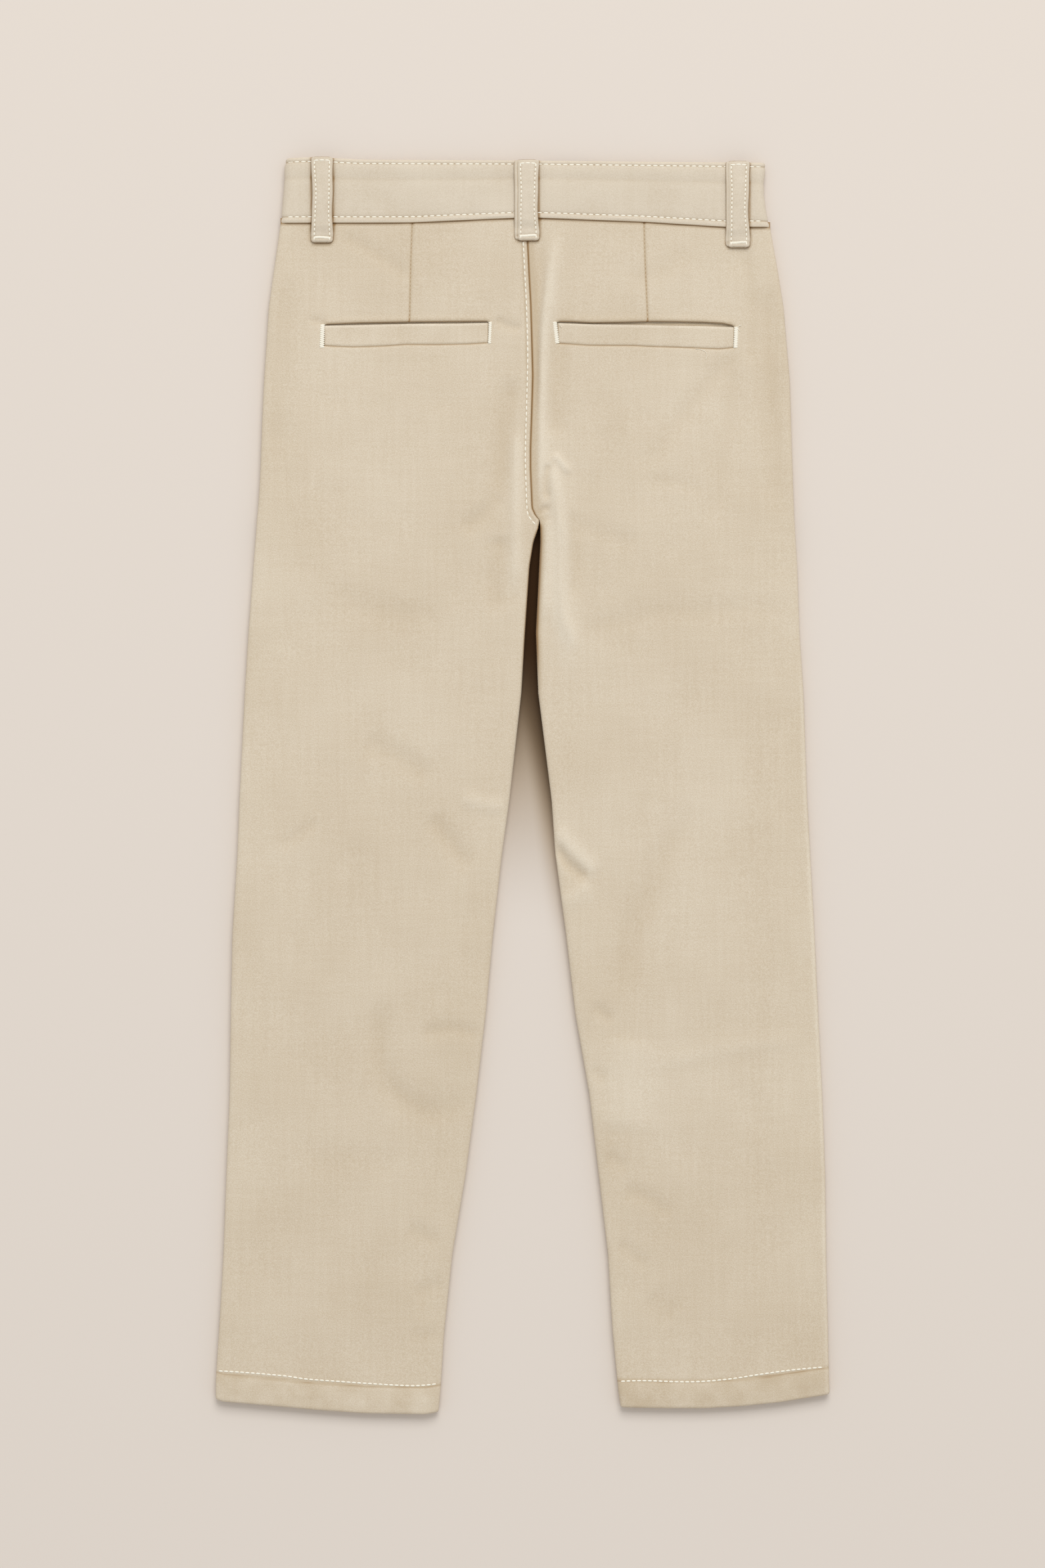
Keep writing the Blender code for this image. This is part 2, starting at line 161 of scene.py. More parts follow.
# Folds: a path, its reach to the left and right of it, its height (a trough is negative), and the
# power of its fall-off, 2 for a soft roll down to 1 for a sharp crease.
FOLDS = {
    "left": [
        Fold([(-6, 245), (-9.4, 223), (-13, 195), (-15.4, 167)], 6, 6, -1.3, 2),
        Fold([(-14, 150), (-13.5, 139), (-16.5, 122), (-15, 100)], 6, 6, -1.1, 2),
        Fold([(-12, 174), (-22.6, 162.8), (-37.4, 152)], 5, 5, -0.8, 2),
        Fold([(-3, 215), (-3.6, 185), (-3.6, 150), (-4.2, 112)], 4, 3.5, 1.5, 2),
        Fold([(-16, 279.4), (-10, 275.6), (0.6, 273.4)], 2.6, 3.4, -0.9, 1.6),
        Fold([(-128, 278.6), (-122, 277.6), (-117.4, 276)], 2.4, 2.4, -0.6, 1.6),
        Fold([(-109.4, 329), (-90, 319), (-65.4, 303)], 5, 4, -0.7, 2),
        Fold([(-95.4, 27), (-75, 17), (-53.4, 3)], 7, 7, -0.9, 2),
        Fold([(-56, -18), (-44, -33), (-31, -51)], 6, 5, -1.1, 1.8),
        Fold([(-37.4, -6.8), (-24, -11), (-9.4, -12.8)], 4, 4, 1, 2),
        Fold([(-145.4, -37), (-121.4, -21)], 3, 3, -0.5, 2),
        Fold([(-85.4, -125), (-87, -152), (-81.4, -177), (-57.4, -195), (-29.4, -187)],
             8, 7, -1.1, 2),
        Fold([(-61.4, -149), (-43, -146), (-24, -149)], 4, 4, -0.9, 1.7),
        Fold([(-69, -265), (-49, -273)], 5, 5, -0.6, 2),
        Fold([(-65.4, -305), (-47.4, -297)], 5, 5, -0.6, 2),
        Fold([(-69, -329), (-49, -329)], 4, 4, -0.4, 2),
        Fold([(-155.4, -100), (-155.4, -172)], 1.8, 1.8, -0.3, 2),
        Fold([(-140, 310), (-146, 250), (-148, 190)], 9, 7, -0.6, 2),
        Fold([(-120, 120), (-85, 104), (-45, 100)], 9, 9, -0.5, 2),
        Fold([(-130, -230), (-100, -222), (-75, -232)], 9, 9, -0.5, 2),
    ],
    "right": [
        Fold([(20.6, 334), (18.6, 318), (16, 300), (13, 273), (11.8, 245), (11.5, 226),
              (11.5, 200), (11.2, 180), (11, 166)], 5, 2.4, 1.9, 2),
        Fold([(11.4, 332), (11, 308), (9.2, 280), (8.6, 250), (8, 215)], 2.2, 2.4, -1.1, 2),
        Fold([(24, 285), (22, 245), (20.6, 226), (20, 206)], 6, 8, -1.2, 2),
        Fold([(19, 199), (19.4, 186), (21.5, 166), (23.8, 148), (23.2, 127), (24.6, 106),
              (28.6, 90), (33, 80)], 3, 4.6, 2.3, 1.6),
        Fold([(21, 196), (22.4, 168), (24.6, 140), (25, 104), (28, 60)], 9, 6, 1, 2),
        Fold([(18.4, 197.6), (22, 194.6), (28.6, 186)], 2.2, 1.8, 1.7, 1.7),
        Fold([(15.6, 193), (14.4, 182), (15.2, 170)], 1.9, 1.9, -1.7, 2),
        Fold([(9.6, 163.4), (13, 165.4), (16.4, 166.2)], 1.3, 1.3, -1.3, 2),
        Fold([(30.6, 166), (30.2, 150), (31.6, 130), (30.6, 110)], 4, 3, -0.9, 2),
        Fold([(12.6, 160), (15, 148), (14.4, 122), (13, 96)], 4, 4, 1.2, 2),
        Fold([(130.6, 262), (100, 226), (70.6, 185)], 6, 6, -0.6, 2),
        Fold([(128.6, 259), (121, 205), (115.4, 155)], 6, 6, -0.5, 2),
        Fold([(146.6, 303), (149, 240), (152.6, 159)], 6, 7, -0.9, 2),
        Fold([(133, 324), (137, 290), (136, 250)], 4, 4, -0.7, 2),
        Fold([(142, 60), (143, -120), (142, -300)], 8, 8, -0.35, 2),
        Fold([(30.6, 91), (86.6, 103), (174.6, 107)], 7, 7, -0.45, 2),
        Fold([(70.6, 183), (92, 181), (110.6, 175)], 5, 5, -0.4, 2),
        Fold([(30.6, 155), (50, 150), (70.6, 143)], 6, 6, -0.5, 2),
        Fold([(20.6, -36), (28, -47), (39.6, -56)], 2.6, 3.2, -1.8, 1.8),
        Fold([(19, -26), (31, -40), (45, -54)], 6, 3.4, 1.3, 2),
        Fold([(20, -70), (31, -66), (42, -60)], 4, 6, 0.8, 2),
        Fold([(102.6, -8.8), (82, -50), (66.6, -88.8), (58.6, -128.8)], 9, 9, -1, 2),
        Fold([(42, -132), (54.6, -141)], 3.4, 3.4, -0.9, 1.8),
        Fold([(40.6, -169), (50.6, -177)], 3.4, 3.4, -0.7, 1.8),
        Fold([(50.6, -221), (62.6, -229)], 4, 4, -0.7, 1.8),
        Fold([(60, -243), (74, -246), (90, -258)], 5, 5, -0.8, 2),
        Fold([(58.6, -273), (66, -281), (76, -288)], 4, 4, -0.6, 2),
        Fold([(76, -305), (92, -318)], 8, 8, -0.5, 2),
        Fold([(66, -149), (60, -209)], 16, 16, 0.9, 2),
        Fold([(74.6, -167), (122.6, -157), (170.6, -151)], 5, 5, 0.45, 2),
        Fold([(100, 322), (84, 308), (60, 300)], 6, 6, -0.5, 2),
    ],
}

# Columns beside a seam, and rows: fine at the hem, the pocket and the waist, wider down the legs.
MARGIN_COLUMNS = 14
FLAT_COLUMNS = 92
ROW_ZONES = [(HEM_ROW, -350.0, 20), (-350.0, 90.0, 160), (90.0, 258.0, 100), (258.0, 282.0, 24),
             (282.0, 326.0, 20), (326.0, WAIST_ROW, 10)]
HEM_INSIDE_ROWS = 7
HEM_FOLD_ROWS = 5
WAIST_TUCK_ROWS = 5


def along(edge, x):
    """Height of an edge table at x."""
    return np.interp(x, [row.x for row in edge], [row.y for row in edge])


def section(side, column, y):
    """One column of a leg's section table at height y."""
    rows = SECTIONS[side]
    return np.interp(y, [row.y for row in rows], [getattr(row, column) for row in rows])


def smooth(low, high, value):
    """0 below low, 1 above high, and a soft step between them."""
    t = np.clip((value - low) / (high - low), 0.0, 1.0)
    return t * t * (3.0 - 2.0 * t)


def curve_through(points, steps=8):
    """Points along a Catmull-Rom curve through the given ones."""
    p = np.array([points[0], *points, points[-1]], dtype=float)
    t = np.linspace(0.0, 1.0, steps, endpoint=False)[:, None]
    stretches = []
    for a, b, c, d in zip(p, p[1:], p[2:], p[3:]):
        stretches.append(0.5 * (2 * b + (c - a) * t + (2 * a - 5 * b + 4 * c - d) * t ** 2
                                + (3 * b - a - 3 * c + d) * t ** 3))
    return np.vstack([*stretches, p[-1:]])


def fold_relief(folds, x, y):
    """Height that a table of folds adds at each point."""
    total = np.zeros_like(x)
    for fold in folds:
        path = curve_through(fold.path)
        reach = 3.2 * max(fold.left, fold.right)
        near = ((x > path[:, 0].min() - reach) & (x < path[:, 0].max() + reach)
                & (y > path[:, 1].min() - reach) & (y < path[:, 1].max() + reach))
        px, py = x[near], y[near]
        if px.size == 0:
            continue
        distance = np.full_like(px, 1e6)
        signed = np.zeros_like(px)
        share = np.zeros_like(px)
        for step, ((ax, ay), (bx, by)) in enumerate(zip(path, path[1:])):
            dx, dy = bx - ax, by - ay
            t = np.clip(((px - ax) * dx + (py - ay) * dy) / (dx * dx + dy * dy), 0.0, 1.0)
            here = np.hypot(px - ax - t * dx, py - ay - t * dy)
            closer = here < distance
            distance = np.where(closer, here, distance)
            signed = np.where(closer, dx * (py - ay) - dy * (px - ax), signed)
            share = np.where(closer, (step + t) / (len(path) - 1), share)
        width = np.where(signed > 0.0, fold.left, fold.right)
        ends = smooth(0.0, 0.22, share) * smooth(0.0, 0.22, 1.0 - share)
        total[near] += fold.height * np.exp(-(distance / width) ** fold.power) * ends
    return total


def unevenness(x, y, seed, size, octaves=2):
    """Soft noise between about -1 and 1, with clouds of the given size."""
    return np.array([noise.fractal(Vector((a / size, b / size, seed)), 0.6, 2.1, octaves)
                     for a, b in zip(x.ravel(), y.ravel())]).reshape(x.shape)


def stack_rise(x):
    """How far the layers of the fly lift what lies over them."""
    return STACK_RISE * np.exp(-((x - CENTRE) / STACK_REACH) ** 2)


def back_height(side, x, y):
    """Outer face of a back panel: flat cloth, its folds, and its slack between seams."""
    return LEG_HEIGHT + stack_rise(x) * smooth(STACK_START, WAIST_ROW, y) + fold_relief(FOLDS[side], x, y)


def pull(value, stations, targets, reach):
    """Move grid lines at stations onto targets, easing to nothing within reach on both sides."""
    knots = [stations[0] - reach, *stations, stations[-1] + reach]
    shifts = [np.zeros_like(value), *[target - station for station, target in zip(stations, targets)],
              np.zeros_like(value)]
    moved = np.zeros_like(value)
    for low, high, start, end in zip(knots, knots[1:], shifts, shifts[1:]):
        t = (value - low) / (high - low)
        inside = (t >= 0.0) & (t < 1.0)
        moved = np.where(inside, start + (end - start) * t, moved)
    return value + moved


def cloth_grid(name, columns, rows, place, wall=WALL, face_down=False, holes=None):
    """A fine sheet of cloth from a grid: place(u, v) puts its points, Solidify gives the wall."""
    grid = bmesh.new()
    bmesh.ops.create_grid(grid, x_segments=columns, y_segments=rows, size=1.0)
    grid.verts.ensure_lookup_table()
    flat = np.array([vert.co for vert in grid.verts])
    column = np.rint((flat[:, 0] + 1.0) / 2.0 * columns).astype(int)
    row = np.rint((flat[:, 1] + 1.0) / 2.0 * rows).astype(int)
    x, y, z, shade = place(column, row)
    # per vertex: painted light and shade of folds, seams and creases, with some random tone
    tone = grid.verts.layers.float.new("tone")
    for vert, px, py, pz, pt in zip(grid.verts, x, y, z, shade):
        vert.co = (px * MM, py * MM, pz * MM)
        vert[tone] = pt
    if holes is not None:
        cut = [face for face in grid.faces if all(holes(column[v.index], row[v.index]) for v in face.verts)]
        bmesh.ops.delete(grid, geom=cut, context="FACES")
    if face_down:
        bmesh.ops.reverse_faces(grid, faces=grid.faces[:])
    mesh = bpy.data.meshes.new(name)
    grid.to_mesh(mesh)
    grid.free()
    mesh.shade_smooth()
    piece = bpy.data.objects.new(name, mesh)
    bpy.context.scene.collection.objects.link(piece)
    solid = piece.modifiers.new("wall", "SOLIDIFY")
    solid.thickness = wall * MM
    solid.offset = -1.0
    return piece


class Wire:
    """A shader socket that adds a Math node for each arithmetic sign it meets."""

    def __init__(self, shader, socket):
        self.shader = shader
        self.socket = socket

    def sign(self, operation, first, second):
        return self.shader.node("ShaderNodeMath", {"operation": operation}, {0: first, 1: second})

    def __add__(self, other):
        return self.sign("ADD", self, other)

    def __sub__(self, other):
        return self.sign("SUBTRACT", self, other)

    def __rsub__(self, other):
        return self.sign("SUBTRACT", other, self)

    def __mul__(self, other):
        return self.sign("MULTIPLY", self, other)

    __radd__ = __add__
    __rmul__ = __mul__


class Shader:
    """A material and its node tree."""

    def __init__(self, name, roughness):
        self.material = bpy.data.materials.new(name)
        self.material.use_nodes = True
        self.tree = self.material.node_tree
        self.surface = self.tree.nodes["Principled BSDF"]
        self.surface.inputs["Roughness"].default_value = roughness

    def feed(self, socket, value):
        if isinstance(value, Wire):
            self.tree.links.new(value.socket, socket)
        else:
            socket.default_value = value

    def node(self, kind, settings=None, inputs=None, output=0):
        """One node: its settings first, then the values or links of its sockets."""
        node = self.tree.nodes.new(kind)
        for setting, value in (settings or {}).items():
            if setting == "stops":
                for position, colour in value[2:]:
                    node.color_ramp.elements.new(position)
                for element, (position, colour) in zip(node.color_ramp.elements, sorted(value)):
                    element.position = position
                    element.color = colour
            else:
                setattr(node, setting, value)
        for socket, value in (inputs or {}).items():
            self.feed(node.inputs[socket], value)
        return Wire(self, node.outputs[output])

    def mix(self, factor, first, second):
        """Colour between two colours."""
        return self.node("ShaderNodeMix", {"data_type": "RGBA"}, {"Factor": factor, 6: first, 7: second},
                         output=2)


def linear(red, green, blue):
    """A colour given in 0 to 255 steps of sRGB, as the shader wants it."""
    channels = [value / 255.0 for value in (red, green, blue)]
    return (*[c / 12.92 if c <= 0.04045 else ((c + 0.055) / 1.055) ** 2.4 for c in channels], 1.0)


WEAVE = 0.78                   # from one diagonal rib of the twill to the next
WEAVE_RELIEF = 0.16
# brown of the shade painted into seams and creases
PAINTED_SHADE_BROWN = linear(158, 124, 82)


def twill(name, dark, middle, light):
    """Garment-dyed cotton twill: warp streaks, fine grain, painted brown shade in the creases, a diagonal
    weave.
    """
    shader = Shader(name, roughness=0.92)
    place = shader.node("ShaderNodeTexCoord", output="Object")
    clouds = shader.node("ShaderNodeTexNoise", None, {"Vector": place, "Scale": 14.0, "Detail": 2.0})
    along_warp = shader.node("ShaderNodeMapping", None, {"Vector": place, "Scale": (1.0, 0.06, 1.0)})
    streaks = shader.node("ShaderNodeTexNoise", None, {"Vector": along_warp, "Scale": 420.0, "Detail": 3.0})
    along_weft = shader.node("ShaderNodeMapping", None, {"Vector": place, "Scale": (0.08, 1.0, 1.0)})
    bars = shader.node("ShaderNodeTexNoise", None, {"Vector": along_weft, "Scale": 520.0, "Detail": 3.0})
    slubs = shader.node("ShaderNodeTexNoise", None, {"Vector": place, "Scale": 1300.0, "Detail": 3.0})
    # the attribute holds painted light and shade as well as random tone
    tone = shader.node("ShaderNodeAttribute", {"attribute_name": "tone"}, output="Fac")
    shade = clouds * 0.3 + streaks * 0.13 + bars * 0.1 + slubs * 0.6 + tone * 0.3 - 0.065
    colour = shader.node("ShaderNodeValToRGB", {"stops": [(0.25, dark), (0.75, light), (0.5, middle)]},
                         {"Fac": shade})
    # painted shade: where the attribute falls below -1, the colour turns to this painted brown shade
    crease_shade = shader.node("ShaderNodeMath", {"operation": "MULTIPLY", "use_clamp": True},
                         {0: -1.0 - tone, 1: 1.0})
    colour = shader.mix(crease_shade, colour, PAINTED_SHADE_BROWN)
    turned = shader.node("ShaderNodeMapping", None, {"Vector": place, "Rotation": (0.0, 0.0, 0.96)})
    ribs = shader.node("ShaderNodeTexWave", {"wave_type": "BANDS", "bands_direction": "X"},
                       {"Vector": turned, "Scale": 314.0 / WEAVE, "Distortion": 1.2, "Detail": 2.0,
                        "Detail Scale": 1.5})
    shader.feed(shader.surface.inputs["Base Color"], colour)
    height = ribs * 0.6 + slubs * 0.9
    bump = shader.node("ShaderNodeBump", None,
                       {"Height": height, "Strength": WEAVE_RELIEF, "Distance": 0.0004})
    shader.feed(shader.surface.inputs["Normal"], bump)
    shader.surface.inputs["Sheen Weight"].default_value = 0.12
    shader.surface.inputs["Sheen Roughness"].default_value = 0.6
    shader.surface.inputs["Specular IOR Level"].default_value = 0.25
    return shader.material


# ramp stops: clouds and streaks move along them, and so do the painted light and shade of folds and seams
CLOTH_DARK = linear(201, 183, 156)
CLOTH = linear(215, 200, 177)
CLOTH_LIGHT = linear(228, 216, 196)
cloth = twill("twill", CLOTH_DARK, CLOTH, CLOTH_LIGHT)

# Pocket mouths: both ends, the lower edge, the welt's upper edge, and the lip above the slit.
Mouth = namedtuple("Mouth", "x0 x1 low top lip")
MOUTHS = {
    "left": Mouth(-118.6, -20.2,
                  [Edge(-118.6, 263), Edge(-101.4, 262.3), Edge(-81.4, 262.9), Edge(-69.4, 263.8),
                   Edge(-51.4, 263.7), Edge(-31.4, 264.1), Edge(-20.2, 264.8)],
                  [Edge(-118.6, 275.2), Edge(-97, 275.6), Edge(-67, 276.2), Edge(-40, 276.4),
                   Edge(-20.2, 276.9)],
                  [Edge(-118.6, 275.6), Edge(-97, 276.5), Edge(-67, 277.1), Edge(-40, 277.3),
                   Edge(-20.2, 277.4)]),
    "right": Mouth(21.2, 127,
                   [Edge(21.2, 264.7), Edge(40, 263.2), Edge(66, 263.1), Edge(92, 262.1),
                    Edge(118, 261.1), Edge(127, 261.9)],
                   [Edge(21.2, 276.8), Edge(42, 275.9), Edge(66, 275.7), Edge(90, 275.2),
                    Edge(110, 274.8), Edge(127, 274.3)],
                   [Edge(21.2, 277.3), Edge(30, 277.2), Edge(42, 276.6), Edge(60, 276.9),
                    Edge(76, 277.3), Edge(92, 277.2), Edge(108, 276.9), Edge(120, 276.2),
                    Edge(127, 274.7)]),
}
# the darts and the band's ends run up and down, so their tables give the height first
DARTS = {"left": [Edge(336.3, -65.8), Edge(311.8, -66.7), Edge(277.6, -67.4)],
         "right": [Edge(336.6, 72.9), Edge(313.6, 73.6), Edge(277.2, 75.2)]}

MOUTH_DIP = 0.45               # how far the welt's seam is drawn in
MOUTH_ROWS = (264.0, 276.0, 277.2)   # rows that become the mouth's low edge, welt and lip
SNAP_REACH = 18.0              # how far round a pocket's end its columns are pulled
MOUTH_REACH = 26.0             # and its rows
DART_POINT = (276.5, 279.0)    # a dart fades out between these heights
SEAT_CLOSE = 0.22              # each back is drawn this far over the seat seam
WAIST_TUCK = 3.4               # cloth that goes up under the band


def mouth_edges(mouth, x):
    """Lower edge, the welt's upper edge, and the lip of a pocket's mouth at x."""
    return along(mouth.low, x), along(mouth.top, x), along(mouth.lip, x)


Loop = namedtuple("Loop", "node x top bottom slipped face")
LOOPS = [
    Loop("belt_loop_back_left", -119.6, 375.8, 324.4, 0.0, "back"),
    Loop("belt_loop_back_centre", 3.5, 373.8, 325.4, 1.9, "back"),
    Loop("belt_loop_back_right", 129.4, 373.2, 321.4, 1.3, "back"),
    Loop("belt_loop_front_left", -68.0, 373.6, 324.2, 0.0, "front"),
    Loop("belt_loop_front_right", 74.0, 372.4, 324.2, 0.0, "front"),
]
LOOP_WIDTH = 13.6
LOOP_CORNER = 2.6              # radius of a loop's corners


def beside_loops(x, y, face="back"):
    """1 along the outline of the belt loops, where brown shade is painted in the crease round them."""
    total = np.zeros_like(x)
    for loop in LOOPS:
        if loop.face == face:
            outside = np.hypot(np.maximum(np.abs(x - loop.x) - LOOP_WIDTH / 2 + LOOP_CORNER, 0.0),
                               np.maximum(loop.bottom + LOOP_CORNER - y, 0.0)) - LOOP_CORNER
            total += np.exp(-(np.maximum(outside - 0.1, 0.0) / 0.75) ** 2) * (y < loop.top)
    return np.minimum(total, 1.0)


def flat_part(inward, x_side, x_inner, seat):
    """Where the flat middle of a leg starts and ends, between its rolled edges."""
    return x_side + inward * ROLL, x_inner - inward * (ROLL + (SEAT_MARGIN - ROLL) * seat)


def across_leg(side, inner, column, columns, margins, base, depth):
    """Points across a leg: x, the share of the rise from the seam, both edges, and 1 in the seat."""
    inward = 1.0 if side == "left" else -1.0
    x_side = section(side, "side", base)
    x_inner = section(side, inner, base)
    seat = smooth(CROTCH - CROTCH_BLEND, CROTCH + 3.0, base)
    start, end = flat_part(inward, x_side, x_inner, seat)
    flat = columns - 2 * (margins + 1)
    from_side = np.clip(column - 1, 0, margins) / margins
    from_inner = np.clip(columns - 1 - column, 0, margins) / margins
    x = start + (end - start) * np.clip(column - 1 - margins, 0, flat) / flat
    turn = from_side * math.pi / 2
    rise = np.sin(turn)
    rolled = depth + (ROLL - depth) * (1.0 - np.cos(turn)) ** CRISP
    x = np.where(from_side < 1.0, x_side + inward * rolled, x)
    turn = from_inner * math.pi / 2
    rolled = depth + (ROLL - depth) * (1.0 - np.cos(turn)) ** CRISP
    reach = (1.0 - seat) * rolled + seat * SEAT_MARGIN * from_inner ** 1.8
    x = np.where(from_inner < 1.0, x_inner - inward * reach, x)
    rise = np.where(from_inner < 1.0, seat + (1.0 - seat) * np.sin(turn), rise)
    return x, rise, x_side, x_inner, seat


def turn_in_seams(side, column, columns, x, z, z_seam, z_face, x_side, x_inner, seat, depth):
    """The last column of each edge turns in at the seam, or down into the seat seam."""
    inward = 1.0 if side == "left" else -1.0
    x = np.where(column == 0, x_side + inward * (depth + TUCK), x)
    z = np.where(column == 0, z_seam, z)
    x = np.where(column == columns, x_inner - inward * (depth + TUCK) * (1.0 - seat), x)
    z = np.where(column == columns, z_seam * (1.0 - seat) + z_face * seat, z)
    return x, z


SHADE_RANGE = (-2.0, 0.9)      # from the painted brown shade of a seam to the palest painted light on a ridge
HEM_PULL = -300.0              # rows below this follow the hem, and above the next the waist seam
WAIST_PULL = 300.0


def to_hem_and_waist(side, x, y, base, drop=0.0):
    """Shift rows so that the first lie on the hem's edge and the last on the waist seam."""
    hem = along(HEMS[side], x) - HEM_ROW
    waist = along(WAIST_SEAM, x) - drop - WAIST_ROW
    return y + hem * (1.0 - smooth(HEM_ROW, HEM_PULL, base)) + waist * smooth(WAIST_PULL, WAIST_ROW, base)


def hem_rows(row, first_outer):
    """Depth and shifts of the turned-up hem's rows: inside layer, fold, then the outer face."""
    turn = np.clip((row - HEM_INSIDE_ROWS) / HEM_FOLD_ROWS, 0.0, 1.0)
    outside = row >= first_outer
    depth = np.where(outside, 0.0, HEM_FOLD * (1.0 + np.cos(math.pi * turn)))
    up = np.where(row < HEM_INSIDE_ROWS, HEM_DEPTH * (1.0 - row / HEM_INSIDE_ROWS), 0.0)
    bulge = np.where((row >= HEM_INSIDE_ROWS) & ~outside, HEM_FOLD * np.sin(math.pi * turn), 0.0)
    return depth, up - bulge


def hem_relief(from_hem):
    """The hem is double: it swells below its stitching, dips at it, and steps down above it."""
    step = smooth(HEM_DEPTH, HEM_DEPTH + 3.0, from_hem)
    step = step * (1.0 - smooth(HEM_DEPTH + 14.0, HEM_DEPTH + 40.0, from_hem))
    return (0.35 * np.exp(-((from_hem - 7.0) / 6.0) ** 2)
            - 0.45 * np.exp(-((from_hem - HEM_DEPTH) / 1.3) ** 2) - 0.3 * step)


def leg_rows(zones):
    """Heights of the rows on the outer face, from the hem's edge to the waist seam."""
    heights = [np.linspace(low, high, count, endpoint=False) for low, high, count in zones]
    return np.append(np.concatenate(heights), WAIST_ROW)


def back_panel(side):
    """One back, from inside its turned-up hem, round the fold, to its waist seam under the band."""
    inward = 1.0 if side == "left" else -1.0
    mouth = MOUTHS[side]
    outer = leg_rows(ROW_ZONES)
    inside = HEM_INSIDE_ROWS + HEM_FOLD_ROWS
    rows = inside + len(outer) - 1 + WAIST_TUCK_ROWS
    columns = 2 * (MARGIN_COLUMNS + 1) + FLAT_COLUMNS
    row_low, row_top, row_lip = [int(np.argmin(np.abs(outer - value))) for value in MOUTH_ROWS]
    stations_y = [outer[row_low], outer[row_top], outer[row_lip]]
    middle = LEG_HEIGHT / 2

    # columns that follow the pocket's ends and the dart
    level = 270.0
    start_x = float(section(side, "side", level)) + inward * ROLL
    end_x = float(section(side, "back", level)) - inward * SEAT_MARGIN
    flat_x = start_x + (end_x - start_x) * np.arange(FLAT_COLUMNS + 1) / FLAT_COLUMNS
    ends = [mouth.x0, mouth.x1] if side == "left" else [mouth.x1, mouth.x0]
    mouth_columns = [int(np.argmin(np.abs(flat_x - value))) for value in ends]
    dart_column = int(np.argmin(np.abs(flat_x - DARTS[side][-1].y)))

    def place(column, row):
        column = column if side == "left" else columns - column
        base = np.where(row >= inside, outer[np.clip(row - inside, 0, len(outer) - 1)], HEM_ROW)
        tucked = np.clip(row - inside - len(outer) + 1, 0, WAIST_TUCK_ROWS) / WAIST_TUCK_ROWS
        depth, hem_shift = hem_rows(row, inside)
        x, rise, x_side, x_inner, seat = across_leg(side, "back", column, columns,
                                                    MARGIN_COLUMNS, base, depth)
        start, end = flat_part(inward, x_side, x_inner, seat)

        # the pocket's ends and the dart take the nearest columns
        pocket_part = smooth(235.0, 256.0, base) * (1.0 - smooth(288.0, 312.0, base))
        stations = [flat_x[index] for index in sorted(mouth_columns, key=lambda i: flat_x[i])]
        targets = [mouth.x0, mouth.x1]
        snapped = pull(x, [stations[0]], [targets[0]], SNAP_REACH)
        snapped = pull(snapped, [stations[1]], [targets[1]], SNAP_REACH)
        x = x + (snapped - x) * pocket_part * (np.abs(base - 268.0) < 60.0)
        dart_x = along(DARTS[side][::-1], base)
        local = start + (end - start) * dart_column / FLAT_COLUMNS
        gap = x - local
        dart_part = smooth(262.0, 278.0, base) * np.clip(1.0 - np.abs(gap) / 20.0, 0.0, 1.0)
        x = x + (dart_x - local) * dart_part
        close = np.exp(-((x - dart_x) / 3.5) ** 2) * smooth(276.0, 279.0, base)
        x = x - (x - dart_x) * 0.45 * close

        # rows follow the hem, the pocket's mouth and the waist seam
        low, top, lip = mouth_edges(mouth, x)
        y = pull(base, stations_y, [low, top, lip], MOUTH_REACH)
        y = to_hem_and_waist(side, x, y, base) + hem_shift

        z_face = back_height(side, x, y) - depth
        wander = unevenness(x, y, 3.0 if side == "left" else 9.0, 34.0) * 0.28
        wander += unevenness(x, y, 17.0, 9.0) * 0.06
        z_face = z_face + wander * (depth < 0.1)
        z_face += np.where(row >= inside, hem_relief(y - along(HEMS[side], x)), 0.0)
        # the seat seam: a lip on both sides, and a groove under the topstitching on the left
        beside = np.abs(x - x_inner)
        sewn = smooth(CROTCH - 6.0, CROTCH + 6.0, base)
        x = x + inward * SEAT_CLOSE * np.exp(-(beside / 2.0) ** 2) * sewn
        z_face -= 0.6 * np.exp(-(beside / 0.8) ** 2) * sewn
        if side == "left":
            z_face += sewn * (0.35 * np.exp(-((beside - 1.6) / 1.0) ** 2)
                              - 0.35 * np.exp(-((beside - 2.9) / 0.8) ** 2))
        # the dart, the edges of the pocket's mouth, and the waist seam, which dips under the band
        z_face -= 0.7 * np.exp(-(np.abs(x - dart_x) / 0.8) ** 1.5) * smooth(*DART_POINT, y)
        z_face += 0.3 * np.exp(-((x - dart_x) / 7.0) ** 2) * smooth(276.5, 284.0, y)
        over = smooth(mouth.x0 - 2.0, mouth.x0 + 2.0, x) * (1.0 - smooth(mouth.x1 - 2.0, mouth.x1 + 2.0, x))
        z_face += over * (0.4 * np.exp(-((y - lip - 1.6) / 1.8) ** 2)
                          - 0.35 * np.exp(-((y - lip) / 0.5) ** 2)
                          - MOUTH_DIP * np.exp(-((y - low) / 0.7) ** 2))
        z_face -= 0.2 * smooth(WAIST_ROW - 3.0, WAIST_ROW + 0.5, base) + 0.85 * tucked
        y = y + WAIST_TUCK * tucked

        seam = (0.15 + 0.8 * np.exp(-((base - CROTCH + CROTCH_BLEND / 2) / CROTCH_BLEND) ** 2))
        z = middle + seam + (z_face - middle - seam) * rise
        x, z = turn_in_seams(side, column, columns, x, z, middle + seam, z_face - 0.35,
                             x_side, x_inner, seat, depth)
        # painted light and shade: the folds' ridges are paler, their troughs darker
        relief = fold_relief(FOLDS[side], x, y)
        shade = np.clip(np.where(relief > 0.0, relief * 0.36, relief * 0.27), -0.6, 0.6)
